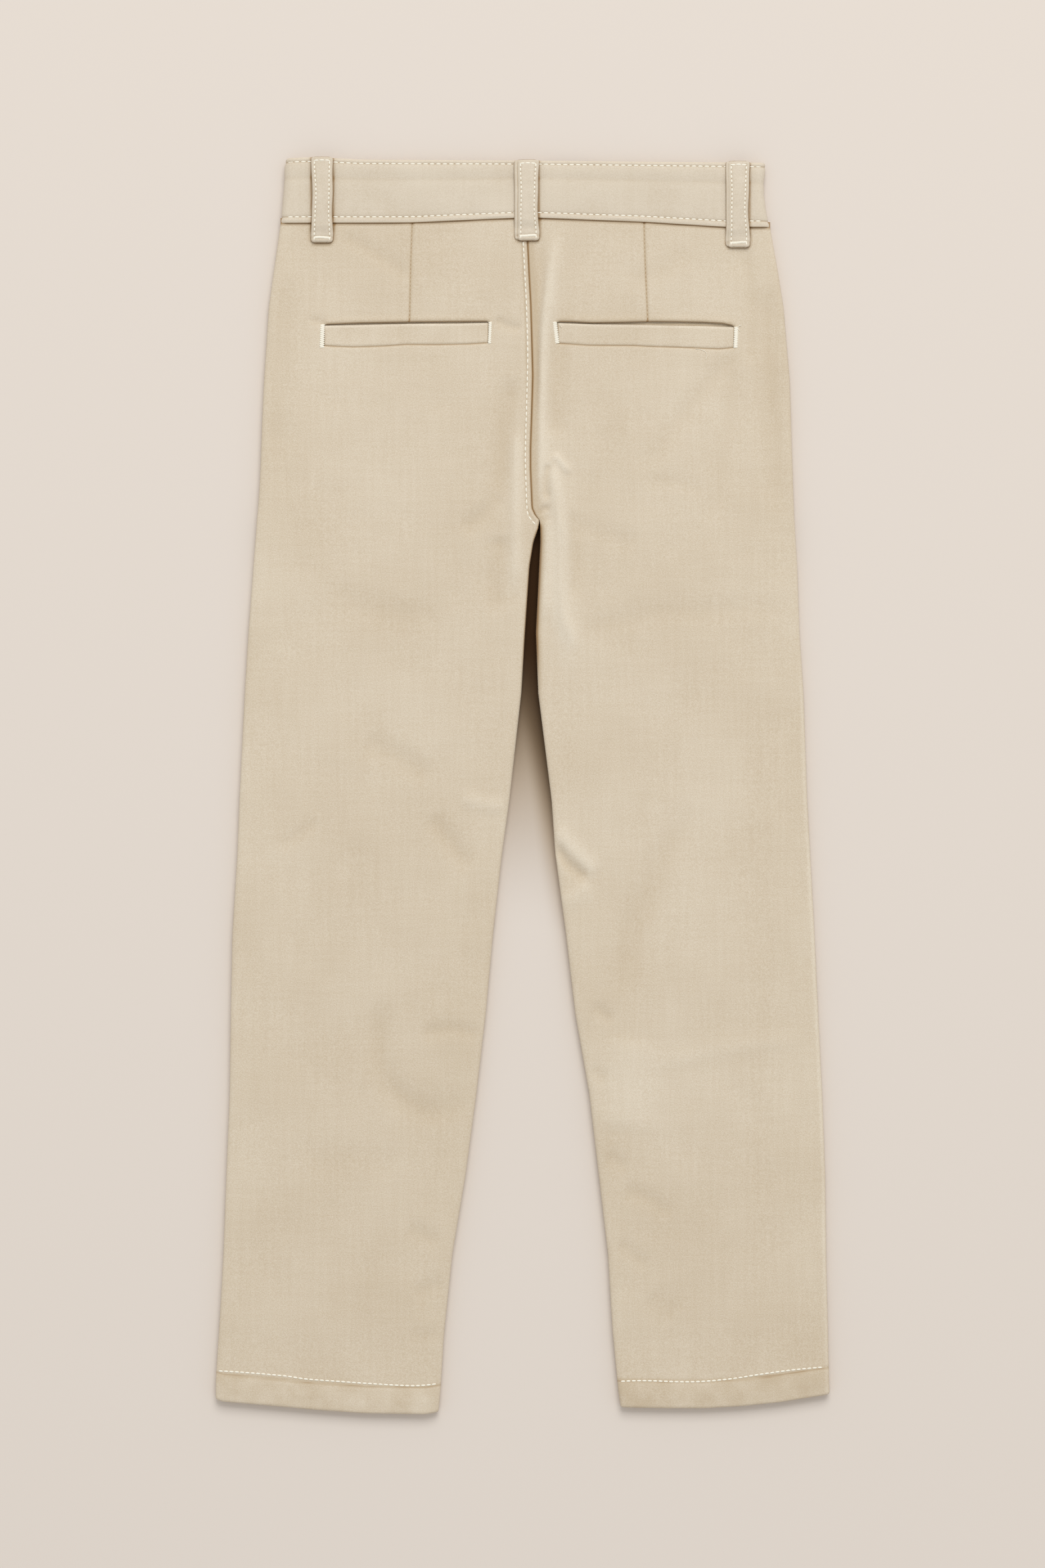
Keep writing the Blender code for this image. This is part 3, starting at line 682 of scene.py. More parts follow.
        # painted shade: darker towards the hems, as the light falls off
        shade -= 0.1 * (1.0 - smooth(-340.0, -100.0, y))
        from_hem = y - along(HEMS[side], x)
        in_hem = 1.0 - smooth(HEM_DEPTH - 1.0, HEM_DEPTH + 1.0, from_hem)
        # the turned-up hem is painted darker and blotchy, the right one more
        shade += in_hem * (unevenness(x, y, 83.0, 11.0) * 0.4 - (0.1 if side == "left" else 0.35))
        # painted highlight: a pale strip along the right leg's outer edge, where the front's edge peeks out
        if side == "right":
            shade += 0.5 * np.exp(-((x_side - x - 1.4) / 1.1) ** 2) * smooth(80.0, 40.0, y)
        # painted brown shade where cloth meets cloth: the seat seam, the dart, the mouth, the band, the
        # loops, the fork and the hem's stitching
        shade -= 2.1 * np.exp(-(beside / (0.8 if side == "right" else 0.5)) ** 2) * sewn
        if side == "right":
            shade -= 0.75 * np.exp(-((beside - 2.4) / 2.0) ** 2) * sewn
        else:
            shade -= 0.8 * np.exp(-((beside - 2.9) / 0.6) ** 2) * sewn
        shade -= 1.7 * np.exp(-((x - dart_x) / 0.55) ** 2) * smooth(*DART_POINT, y)
        shade -= over * (1.9 * np.exp(-((y - lip) / 0.7) ** 2)
                         + 0.7 * np.exp(-np.abs(y - lip) / 2.4) * (y > lip)
                         + 1.5 * np.exp(-((y - low) / 0.45) ** 2))
        shade -= 1.8 * smooth(WAIST_ROW - 1.8, WAIST_ROW - 0.2, base)
        shade -= 1.9 * beside_loops(x, y)
        fork = smooth(40.0, 90.0, base) * (1.0 - smooth(CROTCH - 4.0, CROTCH + 1.0, base))
        shade -= 2.2 * fork * np.exp(-(beside / (2.2 if side == "right" else 0.7)) ** 2)
        shade -= 1.2 * np.exp(-((from_hem - HEM_DEPTH + 0.5) / 0.8) ** 2) * (row >= inside)
        return x, y, z, np.clip(shade, *SHADE_RANGE)

    hole_columns = sorted(1 + MARGIN_COLUMNS + index for index in mouth_columns)

    def in_mouth(column, row):
        column = column if side == "left" else columns - column
        return hole_columns[0] <= column <= hole_columns[1] and inside + row_low <= row <= inside + row_lip

    piece = cloth_grid("back_" + side + "_cloth", columns, rows, place, holes=in_mouth)
    piece.data.materials.append(cloth)
    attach(piece, "root")
    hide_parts("back_" + side)
    return piece


backs = {side: back_panel(side) for side in ("left", "right")}

# ---------------------------------------------------------------------------------------------
# The two fronts: the same twill, lying under the backs. The left one laps over the right one at
# the fly, and both rise a little where they pass over the button, the belt loops and each other.

FRONT_MARGIN_COLUMNS = 8
FRONT_FLAT_COLUMNS = 56
FRONT_ROW_ZONES = [(HEM_ROW, -350.0, 14), (-350.0, 100.0, 90), (100.0, 200.0, 40), (200.0, WAIST_ROW, 50)]
LAP_END = 15.0                 # edge of the left front, outside
UNDERLAP_END = -22.0           # edge of the right front, inside
CAD_CLOTH = 1.5                # walls of the frame's solids, which set how far the layers rise
CAD_BAND = 2.0
GAP = 0.3
LOOP_WALL = 1.5
FRONT_LOOPS = {loop.node.split("_")[-1]: loop.x for loop in LOOPS if loop.face == "front"}
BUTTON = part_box("waist_button")
BUTTON_X = (BUTTON[0][0] + BUTTON[1][0]) / 2 / MM
BUTTON_Y = (BUTTON[0][1] + BUTTON[1][1]) / 2 / MM
BUTTON_RADIUS = (BUTTON[1][0] - BUTTON[0][0]) / 2 / MM
BUTTON_HEIGHT = BUTTON[1][2] / MM

FRONT_FOLDS = {
    "left": [
        Fold([(-20, 172), (-45, 158), (-80, 150)], 6, 6, 0.8, 1.8),
        Fold([(-14, 160), (-34, 132), (-60, 112)], 6, 5, 0.7, 2),
        Fold([(-12, 120), (-30, 98), (-44, 70)], 5, 5, 0.6, 2),
        Fold([(-140, 24), (-110, 10), (-84, 12)], 6, 7, 0.7, 2),
        Fold([(-52, -12), (-74, -30), (-104, -34)], 6, 6, 0.8, 2),
        Fold([(-34, -70), (-52, -84), (-82, -88)], 5, 6, 0.6, 2),
        Fold([(-150, -190), (-120, -202), (-96, -198)], 6, 7, 0.6, 2),
        Fold([(-62, -262), (-84, -276), (-108, -274)], 6, 6, 0.5, 2),
        Fold([(-100, 300), (-112, 240), (-116, 190)], 8, 8, 0.7, 2),
    ],
    "right": [
        Fold([(24, 170), (52, 160), (88, 158)], 6, 6, 0.8, 1.8),
        Fold([(20, 150), (42, 124), (70, 110)], 6, 5, 0.7, 2),
        Fold([(24, 104), (36, 78), (54, 60)], 5, 5, 0.6, 2),
        Fold([(150, 30), (122, 16), (90, 20)], 7, 6, 0.8, 2),
        Fold([(44, -24), (72, -38), (98, -36)], 6, 6, 0.7, 2),
        Fold([(52, -112), (74, -122), (92, -138)], 5, 5, 0.6, 2),
        Fold([(160, -200), (130, -214), (108, -206)], 7, 6, 0.6, 2),
        Fold([(74, -290), (98, -300), (126, -296)], 6, 6, 0.5, 2),
        Fold([(112, 296), (122, 238), (126, 182)], 8, 8, 0.7, 2),
    ],
}


def over_piece(distance, half, ramp=20.0):
    """1 over a hidden piece and its surroundings, falling to 0 over the ramp."""
    return 1.0 - smooth(half + 18.0, half + 18.0 + ramp, distance)


def underside(side, x, y, layer):
    """Height of the lower layer's outer face, on the surface or over what lies below it."""
    over_loop = over_piece(np.abs(x - FRONT_LOOPS[side]), LOOP_WIDTH / 2) * smooth(270.0, 305.0, y)
    over_button = over_piece(np.hypot(x - BUTTON_X, y - BUTTON_Y), BUTTON_RADIUS, 60.0)
    height = np.maximum((LOOP_WALL + GAP) * over_loop, (BUTTON_HEIGHT + GAP) * over_button)
    if side == "right":
        height = height + (layer + GAP) * over_piece(x, LAP_END) * smooth(140.0, 172.0, y)
    return height


def front_panel(side):
    """One front, from inside its turned-up hem, round the fold, to the waist seam."""
    outer = leg_rows(FRONT_ROW_ZONES)
    inside = HEM_INSIDE_ROWS + HEM_FOLD_ROWS
    rows = inside + len(outer) - 1
    columns = 2 * (FRONT_MARGIN_COLUMNS + 1) + FRONT_FLAT_COLUMNS
    middle = LEG_HEIGHT / 2

    def place(column, row):
        column = column if side == "left" else columns - column
        base = np.where(row >= inside, outer[np.clip(row - inside, 0, len(outer) - 1)], HEM_ROW)
        depth, hem_shift = hem_rows(row, inside)
        x, rise, x_side, x_inner, seat = across_leg(side, "front", column, columns,
                                                    FRONT_MARGIN_COLUMNS, base, depth)
        y = to_hem_and_waist(side, x, base, base, drop=0.6) + hem_shift
        creases = fold_relief(FRONT_FOLDS[side], x, y)
        wander = unevenness(x, y, 23.0 if side == "left" else 31.0, 30.0) * 0.2
        z_face = underside(side, x, y, CAD_CLOTH) + depth + creases + np.maximum(wander, 0.0)
        z_face -= np.where(row >= inside, hem_relief(y - along(HEMS[side], x)) - 0.35, 0.0) * (y < -300.0)
        crotch = 0.8 * np.exp(-((base - CROTCH + CROTCH_BLEND / 2) / CROTCH_BLEND) ** 2)
        seam = middle - 0.15 - crotch
        z = seam + (z_face - seam) * rise
        x, z = turn_in_seams(side, column, columns, x, z, seam, z_face + 0.4,
                             x_side, x_inner, seat, depth)
        # painted light and shade: paler on the creases and where the cloth swells, darker in its dips
        return x, y, z, np.clip(creases * 0.3 + wander, -1.0, 1.0)

    piece = cloth_grid("front_" + side + "_cloth", columns, rows, place, face_down=True)
    piece.data.materials.append(cloth)
    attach(piece, "root")
    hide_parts("front_" + side)
    return piece


fronts = {side: front_panel(side) for side in ("left", "right")}

# ---------------------------------------------------------------------------------------------
# The waistband: a strip of twill folded over a stiffener, so its top edge is a fold and its lower
# edge a puffed roll over the waist seam. Two rows of topstitching run along it.

Rib = namedtuple("Rib", "up out")
BAND_PROFILE = [
    Rib(4, -1.5), Rib(1.8, -1.5), Rib(0.7, -1.35), Rib(0.15, -1), Rib(-0.05, -0.5), Rib(0.2, -0.05),
    Rib(0.8, 0.2), Rib(1.8, 0.28), Rib(2.7, 0.1), Rib(3.3, -0.2), Rib(3.7, -0.25), Rib(4.2, -0.05),
    Rib(5.2, 0.15), Rib(8, 0.3), Rib(13, 0.35), Rib(19, 0.3), Rib(23.5, 0.1), Rib(26, -0.15),
    Rib(28, 0), Rib(30.5, 0.2), Rib(33, 0.2), Rib(34.6, 0), Rib(35.4, -0.3), Rib(36.1, -0.1),
    Rib(37, -0.1), Rib(37.7, -0.6), Rib(38, -1.2), Rib(37.7, -1.9), Rib(36.8, -2.3), Rib(31, -2.3),
]
BAND_LENGTHS = 38.0            # height of the profile above
BAND_HEIGHT = 7.8
BAND_SWELL = 0.35              # the most that the profile stands out
BAND_TOP = [Edge(-142, 375.2), Edge(-124, 375.9), Edge(-97, 374.4), Edge(3, 373.6),
            Edge(146, 372.5)]
BAND_SIDES = {"left": [Edge(336, -144.4), Edge(346, -143.4), Edge(355, -142.6), Edge(364, -142.4),
                       Edge(374, -141.6)],
              "right": [Edge(336, 148.2), Edge(346, 145.8), Edge(355, 144.6), Edge(364, 144.9),
                        Edge(374, 145.8)]}
BAND_BACK_COLUMNS = 150
BAND_ROLL_COLUMNS = 14
BAND_FRONT_COLUMNS = 96
BAND_DIPS = [(-101, 3), (-92, 2.4), (-60, 5), (-31, 4), (34, 4), (66, 5), (104, 4)]

band_cloth = twill("waistband_twill", linear(206, 191, 168), linear(216, 203, 183), linear(225, 213, 194))


def band_top(x):
    """Outer face of the band's upper side."""
    return BAND_HEIGHT + stack_rise(x)


def waistband(side):
    """Half the band, from the centre back round the side to its end at the front."""
    inward = 1.0 if side == "left" else -1.0
    profile = curve_through([(rib.up, rib.out) for rib in BAND_PROFILE], 2)
    first, last = CENTRE + 0.8 - inward * GAP / 2, LAP_END if side == "left" else UNDERLAP_END
    columns = BAND_BACK_COLUMNS + BAND_ROLL_COLUMNS + BAND_FRONT_COLUMNS
    rows = len(profile) - 1

    def place(column, row):
        column = columns - column if side == "left" else column
        up, out = profile[row, 0], profile[row, 1]
        x_side = along(BAND_SIDES[side], WAIST_ROW + up)
        straight = x_side + inward * ROLL
        back = np.clip(column / BAND_BACK_COLUMNS, 0.0, 1.0)
        turn = math.pi * np.clip((column - BAND_BACK_COLUMNS) / BAND_ROLL_COLUMNS, 0.0, 1.0)
        front = np.clip((column - BAND_BACK_COLUMNS - BAND_ROLL_COLUMNS) / BAND_FRONT_COLUMNS, 0.0, 1.0)
        x = first + (straight - first) * back
        x = np.where(turn > 0.0, straight - inward * (ROLL + out) * np.sin(turn), x)
        x = np.where(front > 0.0, straight + (last - straight) * front, x)
        low, high = along(WAIST_SEAM, x), along(BAND_TOP, x)
        y = low + (high - low) * up / BAND_LENGTHS
        outer = (up > 1.0) & (up < 37.0) & (out > -1.0)
        wander = unevenness(x, y + 40.0 * front, 41.0, 26.0) * 0.22 * outer
        dips = sum(np.exp(-((x - at) / reach) ** 2) for at, reach in BAND_DIPS)
        wander -= 0.16 * dips * np.exp(-((up - 5.0) / 5.0) ** 2) * outer
        z_back = band_top(x) + out + wander
        z_roll = (BAND_HEIGHT - BAND_SWELL) / 2 + out + wander
        z_roll = (BAND_HEIGHT + BAND_SWELL) / 2 + z_roll * np.cos(turn)
        z_front = underside(side, x, y, CAD_BAND) + np.maximum(BAND_SWELL - out - wander, 0.0)
        z = np.where(front > 0.0, z_front, np.where(turn > 0.0, z_roll, z_back))
        # painted light and shade: paler where the band swells, darker in its dips; painted brown shade in
        # the crease across it, under both rows of stitching, along its lower edge and round the loops
        shade = wander * 1.2 - 0.35 * np.exp(-((up - 26.0) / 1.2) ** 2)
        shade -= 1.5 * np.exp(-((up - 35.4) / 0.5) ** 2) + 1.4 * np.exp(-((up - 3.55) / 0.5) ** 2)
        shade -= 1.8 * smooth(0.5, 0.0, up) * (out > -0.9)
        shade -= (1.7 * beside_loops(x, y) * (front == 0.0)
                  + 1.2 * beside_loops(x, y, "front") * (front > 0.0))
        return x, y, z, np.clip(shade, *SHADE_RANGE)

    piece = cloth_grid("waistband_" + side + "_cloth", columns, rows, place, wall=0.7)
    piece.data.materials.append(band_cloth)
    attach(piece, "root")
    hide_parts("waistband_" + side)
    return piece


bands = {side: waistband(side) for side in ("left", "right")}

# ---------------------------------------------------------------------------------------------
# Pocket welts: a folded strip fills each mouth up to its slit, the pocket's facing shows inside,
# painted darker as shade, and a bar tack of zigzag thread closes each end.

# a darker copy of the twill: painted shade for the facing seen down in the slit
shaded_facing_cloth = twill("pocket_facing_twill_painted_shade", linear(192, 170, 138), linear(206, 188, 160),
                     linear(216, 201, 176))
thread = Shader("thread", roughness=0.6)
thread.surface.inputs["Base Color"].default_value = linear(246, 240, 224)
thread.surface.inputs["Sheen Weight"].default_value = 0.2
tonal_thread = Shader("tonal_thread", roughness=0.7)
tonal_thread.surface.inputs["Base Color"].default_value = linear(206, 188, 158)


UNDER_SINK = -0.25             # stitches of the underside stay above the surface it lies on


def laid_on(piece, from_below=False):
    """A function that gives the height of a piece's outer face at x, y, by a straight probe."""
    probe = bpy.context.evaluated_depsgraph_get()
    evaluated = piece.evaluated_get(probe)
    start, direction = (-0.02, 1.0) if from_below else (0.05, -1.0)

    def height(x, y):
        hit, point, _, _ = evaluated.ray_cast(Vector((x * MM, y * MM, start)), Vector((0.0, 0.0, direction)))
        return point.z / MM if hit else None

    return height


def stitches(threads, path, height, pitch, length, width=0.95, thick=0.6, sink=0.05):
    """Sew a row of stitches along a path: each is a short bead of thread, pulled in at its ends."""
    points = curve_through(path, 6)
    steps = np.hypot(*np.diff(points, axis=0).T)
    run = np.concatenate([[0.0], np.cumsum(steps)])
    count = int(run[-1] / pitch)
    for number in range(count):
        middle = (number + 0.5) * pitch
        ends = []
        for at in (middle - length / 2, middle + length / 2):
            x, y = np.interp(at, run, points[:, 0]), np.interp(at, run, points[:, 1])
            z = height(x, y)
            if z is None:
                break
            ends.append(Vector((x, y, z)))
        if len(ends) < 2:
            continue
        bead(threads, ends[0], ends[1], width, thick, sink)


def bead(threads, start, end, width, thick, sink=0.0):
    """One stitch between two points."""
    turn = (end - start).to_track_quat("Z", "Y")
    middle = (start + end) / 2 - Vector((0.0, 0.0, sink))
    size = Matrix.Diagonal((width / 2, thick / 2, (end - start).length / 2 + 0.12, 1.0))
    place = Matrix.Scale(MM, 4) @ Matrix.Translation(middle) @ turn.to_matrix().to_4x4() @ size
    bmesh.ops.create_uvsphere(threads, u_segments=8, v_segments=6, radius=1.0, matrix=place)


def sewn(name, threads, material, slot):
    """Finish a mesh of joined stitches."""
    mesh = bpy.data.meshes.new(name)
    threads.to_mesh(mesh)
    threads.free()
    mesh.shade_smooth()
    piece = bpy.data.objects.new(name, mesh)
    bpy.context.scene.collection.objects.link(piece)
    piece.data.materials.append(material)
    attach(piece, "root")
    return piece


def pocket(side):
    """Welt and facing of one back pocket."""
    mouth = MOUTHS[side]
    columns, rows = 90, 16

    def place_welt(column, row):
        u, v = column / columns, row / rows
        x = mouth.x0 - 0.2 + (mouth.x1 - mouth.x0 + 0.4) * u
        low, top, lip = mouth_edges(mouth, x)
        y = low - 0.15 + (top - low + 0.15) * (0.5 - 0.5 * np.cos(math.pi * v))
        ends = np.minimum(x - mouth.x0, mouth.x1 - x)
        wander = unevenness(x, y, 57.0, 16.0) * 0.15
        z = back_height(side, x, y) - 0.05 + wander
        z -= (MOUTH_DIP + 0.1) * np.exp(-((y - low + 0.15) / 0.7) ** 2)
        z -= 0.7 * np.clip(1.0 - (top - y) / 0.9, 0.0, 1.0) ** 2
        z -= 0.5 * np.exp(-((ends + 0.2) / 0.6) ** 2)
        # painted brown shade along the welt's seam and at its ends, a painted highlight just below its
        # folded top edge, and paler where it swells
        shade = wander - 1.7 * np.exp(-((y - low) / 0.4) ** 2) - 1.6 * np.exp(-((ends + 0.1) / 0.45) ** 2)
        shade += 0.5 * np.exp(-((top - y - 0.9) / 0.6) ** 2)
        return x, y, z, np.clip(shade, *SHADE_RANGE)

    welt = cloth_grid("pocket_welt_" + side + "_cloth", columns, rows, place_welt, wall=0.7)
    welt.data.materials.append(cloth)
    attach(welt, "root")
    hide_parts("pocket_welt_" + side)

    def place_facing(column, row):
        x = mouth.x0 - 5.0 + (mouth.x1 - mouth.x0 + 10.0) * column / columns
        low, top, _ = mouth_edges(mouth, x)
        y = low - 5.0 + (top - low + 12.0) * row / rows
        z = back_height(side, x, y) - 1.5 + unevenness(x, y, 61.0, 12.0) * 0.1
        return x, y, z, np.zeros_like(x)

    facing = cloth_grid("pocket_facing_" + side + "_cloth", columns, rows, place_facing, wall=0.6)
    facing.data.materials.append(shaded_facing_cloth)
    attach(facing, "root")
    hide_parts("pocket_facing_" + side)


for side in ("left", "right"):
    pocket(side)
on_back = {side: laid_on(backs[side]) for side in ("left", "right")}

Tack = namedtuple("Tack", "side x_low x_top low top width")
TACKS = [
    Tack("left", -119.9, -119.4, 261.8, 275.8, 2.8),
    Tack("left", -19.6, -19, 264.3, 277.2, 1.8),
    Tack("right", 21, 19.4, 264.5, 277.2, 2.7),
    Tack("right", 127.6, 128.2, 261.8, 274.2, 2.5),
]
TACK_STITCHES = 23

tacks = bmesh.new()
for tack in TACKS:
    for number in range(TACK_STITCHES):
        share = (number + 0.5) / TACK_STITCHES
        x = tack.x_low + (tack.x_top - tack.x_low) * share
        y = tack.low + (tack.top - tack.low) * share
        slant = 0.16 if number % 2 else -0.1
        z = float(back_height(tack.side, np.array([x]), np.array([y]))[0]) + 0.1
        half = tack.width / 2 + 0.12 * math.sin(number * 2.7)
        bead(tacks, Vector((x - half, y + slant, z)), Vector((x + half, y - slant, z)), 0.8, 0.7)
for x, y, dx, dy in ((129.2, 274.4, 1.9, 0.9), (129.0, 273.4, 1.4, -1.7), (22.6, 275.6, 1.0, -1.6)):
    z = float(back_height("right", np.array([x]), np.array([y]))[0]) + 0.2
    bead(tacks, Vector((x, y, z)), Vector((x + dx, y + dy, z + 0.3)), 0.35, 0.35)
tack_rows = sewn("pocket_bar_tacks", tacks, thread.material, "twill")

tail = bmesh.new()
TAIL = [(103.9, 260.9), (107, 260.6), (109.8, 259.2), (110.6, 256.6), (109.9, 254.8)]
tail_path = curve_through(TAIL, 5)
for start, end in zip(tail_path, tail_path[1:]):
    points = [Vector((x, y, on_back["right"](x, y) + 0.25)) for x, y in (start, end)]
    bead(tail, points[0], points[1], 0.28, 0.28)
thread_tail = sewn("loose_thread", tail, thread.material, "twill")

# ---------------------------------------------------------------------------------------------
# Stitching of the panels: an off-white row beside the seat seam and along each hem, and small
# stitches in the cloth's own colour down the darts.

SEAT_ROW = [(0.6, 325.5), (1.6, 306), (2.6, 286.6), (3.3, 262), (3.2, 247.2), (2.7, 228), (2.2, 211.6),
            (1.9, 196.2), (2.3, 180.8), (2.9, 165.6), (3.7, 161.4), (6, 158.2), (9.3, 154.6)]
HEM_ROWS = {
    "left": [(-182, -350.4), (-167.6, -351.2), (-143, -353.3), (-130, -355.2), (-113.6, -356.4),
             (-97.2, -357.6), (-76.1, -358.9), (-64.3, -359.3), (-55, -358.6), (-49.4, -357.8)],
    "right": [(58.8, -356.6), (73.2, -356.2), (94.6, -356.9), (109.2, -356.6), (126, -355),
              (142.8, -352.4), (161.9, -349.8), (183, -347.9)],
}
threads = bmesh.new()
stitches(threads, SEAT_ROW, on_back["left"], 3.5, 2.5)
seat_stitches = sewn("seat_topstitch", threads, thread.material, "twill")
for side, path in HEM_ROWS.items():
    threads = bmesh.new()
    stitches(threads, path, on_back[side], 3.2, 2.5, width=1.15, thick=0.8)
    on_front = laid_on(fronts[side], from_below=True)
    stitches(threads, path, on_front, 3.3, 2.55, sink=UNDER_SINK)
    sewn("hem_stitches_" + side, threads, thread.material, "twill")
threads = bmesh.new()
for side, dart in DARTS.items():
    path = [(row.y, row.x) for row in dart]
    stitches(threads, path, on_back[side], 2.5, 1.5, width=0.55, thick=0.35)
dart_stitches = sewn("dart_stitches", threads, tonal_thread.material, "twill")

BAND_STITCH_ROWS = (3.6, 35.45)   # up the band from the waist seam
on_band = {side: laid_on(bands[side]) for side in ("left", "right")}
under_band = {side: laid_on(bands[side], from_below=True) for side in ("left", "right")}
threads = bmesh.new()
for up in BAND_STITCH_ROWS:
    for side in ("left", "right"):
        ends = (-140.5, 3.0) if side == "left" else (4.6, 145.0)
        path = []
        for x in np.linspace(*ends, 14):
            low, high = float(along(WAIST_SEAM, x)), float(along(BAND_TOP, x))
            path.append((x, low + (high - low) * up / BAND_LENGTHS))
        stitches(threads, path, on_band[side], 3.85, 2.7, width=1.0)
        if side == "left":
            path = [(x, y) for x, y in path if x < 3.0] + [(LAP_END - 1.5, path[-1][1])]
        stitches(threads, path, under_band[side], 3.85, 2.7, width=1.0, sink=UNDER_SINK)
band_stitches = sewn("waistband_stitches", threads, thread.material, "waistband_twill")

# ---------------------------------------------------------------------------------------------
# Belt loops: strips folded to three layers and stitched down both edges, tacked into the top of
# the band and below it. Two of those behind show the raw edge of a layer that has slipped.

LOOP_COLUMNS, LOOP_ROWS = 22, 70
STITCH_INSET = 2.2
LOOP_TACK_STITCHES = 24


def loop_height(x, y, face):
    """What a loop lies on: the band, the step below it, and the panel."""
    seam = along(WAIST_SEAM, x)
    on_seat = LEG_HEIGHT + stack_rise(x) * smooth(STACK_START, WAIST_ROW, y)
    step = smooth(seam - 7.0, seam - 0.5, y)
    arch = 0.9 * np.sin(math.pi * np.clip((y - seam) / BAND_LENGTHS, 0.0, 1.0))
    return on_seat + (band_top(x) + 0.3 - on_seat) * step + arch


def loop_waist(share):
    """How much narrower each side of a loop is, from 0 at its bottom to 1 at its top."""
    return 0.75 * np.sin(math.pi * np.clip((share - 0.12) / 0.8, 0.0, 1.0))


def loop_sway(loop, y):
    """How far a loop wanders sideways at height y."""
    return (0.35 * np.sin(y / 9.0 + loop.x) + 0.2 * np.sin(y / 3.7)) * 0.6


def belt_loop(loop):
    """One loop: a padded strip with rounded ends, a groove under each row of stitches."""
    half = LOOP_WIDTH / 2

    def strip(shift, drop, name, trim=0.0):
        def place(column, row):
            u, v = 2.0 * column / LOOP_COLUMNS - 1.0, row / LOOP_ROWS
            y = loop.bottom + trim + (loop.top - loop.bottom - trim) * v
            from_end = np.minimum(y - loop.bottom - trim, (loop.top - y) * 1.6)
            cut_in = (LOOP_CORNER - np.clip(from_end, 0.0, LOOP_CORNER)) ** 2
            corner = LOOP_CORNER - np.sqrt(np.clip(LOOP_CORNER ** 2 - cut_in, 0.0, None))
            wide = half - corner - loop_waist(v) + 0.15 * np.sin(y / 5.0)
            bend = np.sin(u * math.pi / 2)
            x = loop.x + shift + bend * wide + loop_sway(loop, y)
            beside = wide * (1.0 - np.abs(bend))
            edge = np.minimum(beside, from_end)
            rounded = np.clip(1.0 - edge / 1.3, 0.0, 1.0) ** 2
            groove = np.exp(-((beside - STITCH_INSET) / 0.55) ** 2)
            tack = np.exp(-((y - loop.bottom - 3.0) / 1.0) ** 2)
            wander = unevenness(x, y, 71.0, 7.0) * 0.16
            out = (0.25 * np.cos(u * math.pi / 2) - 1.35 * rounded - 0.35 * groove - 0.3 * tack
                   + wander - drop)
            # painted light and shade: paler where the strip swells, painted brown shade in the grooves under
            # the stitching, round its edges and at the bar tack
            shade = wander * 1.5 - 1.5 * np.exp(-((beside - STITCH_INSET) / 0.4) ** 2) * (from_end > 2.4)
            shade -= 1.9 * np.clip(1.0 - edge / 0.5, 0.0, 1.0) + 0.9 * tack
            shade = np.clip(shade, *SHADE_RANGE)
            if loop.face == "back":
                return x, y, loop_height(x, y, "back") + 0.6 + LOOP_WALL + out, shade
            return x, y, -np.minimum(out - 0.25, 0.0), shade

        return cloth_grid(name, LOOP_COLUMNS, LOOP_ROWS, place, wall=0.7, face_down=loop.face == "front")

    piece = strip(0.0, 0.0, loop.node + "_cloth")
    piece.data.materials.append(band_cloth)
    if loop.slipped:
        under = strip(-loop.slipped, 0.7, loop.node + "_layer", trim=0.6)
        layer = bmesh.new()
        layer.from_mesh(piece.data)
        layer.from_mesh(under.data)
        layer.to_mesh(piece.data)
        layer.free()
        bpy.data.objects.remove(under)
    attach(piece, "root")
    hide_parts(loop.node)

    height = laid_on(piece, from_below=loop.face == "front")
    sink = 0.05 if loop.face == "back" else UNDER_SINK
    threads = bmesh.new()
    for edge in (-1.0, 1.0):
        path = []
        for y in np.linspace(loop.bottom + 1.2, loop.top - 0.8, 12):
            share = (y - loop.bottom) / (loop.top - loop.bottom)
            inset = half - loop_waist(share) - STITCH_INSET
            path.append((loop.x + edge * inset + loop_sway(loop, y), y))
        stitches(threads, path, height, 2.65, 1.75, width=1.0, thick=0.7, sink=sink)
    for number in range(LOOP_TACK_STITCHES):
        share = number / (LOOP_TACK_STITCHES - 1)
        x = loop.x - half + 2.0 + (LOOP_WIDTH - 4.0) * share
        y = loop.bottom + 3.1 + 0.2 * math.sin(share * 5.0 + loop.x)
        z = height(x, y)
        lean = 0.18 if number % 2 else -0.12
        bead(threads, Vector((x - lean, y - 0.75, z)), Vector((x + lean, y + 0.75, z)), 0.7, 0.8, sink)
    top_row = [(loop.x - half + 1.6, loop.top - 2.6), (loop.x, loop.top - 2.3),
               (loop.x + half - 1.6, loop.top - 2.6)]
    stitches(threads, top_row, height, 3.4, 2.8, width=1.0, thick=0.7, sink=sink)
    edges = sewn(loop.node + "_stitches", threads, thread.material, "waistband_twill")


for loop in LOOPS:
    belt_loop(loop)

# ---------------------------------------------------------------------------------------------
# Fly and waist button, on the hidden front: the lap is topstitched in a J, and a four-hole button
# of horn-coloured plastic closes the band.

FLY_ROW = [(-24, 333), (-24, 300), (-24, 250), (-22, 218), (-14, 198), (-2, 186),
           (8, 181)]
threads = bmesh.new()
under_front = laid_on(fronts["left"], from_below=True)
stitches(threads, FLY_ROW, under_front, 3.5, 2.6, sink=UNDER_SINK)
edge_row = [(LAP_END - 2.0, 333.0), (LAP_END - 2.0, 270.0), (LAP_END - 2.0, 206.0)]
stitches(threads, edge_row, under_front, 3.5, 2.6, sink=UNDER_SINK)
fly_stitches = sewn("fly_stitches", threads, thread.material, "twill")

disc = bmesh.new()
rim = BUTTON_RADIUS * MM
thick = BUTTON_HEIGHT * MM
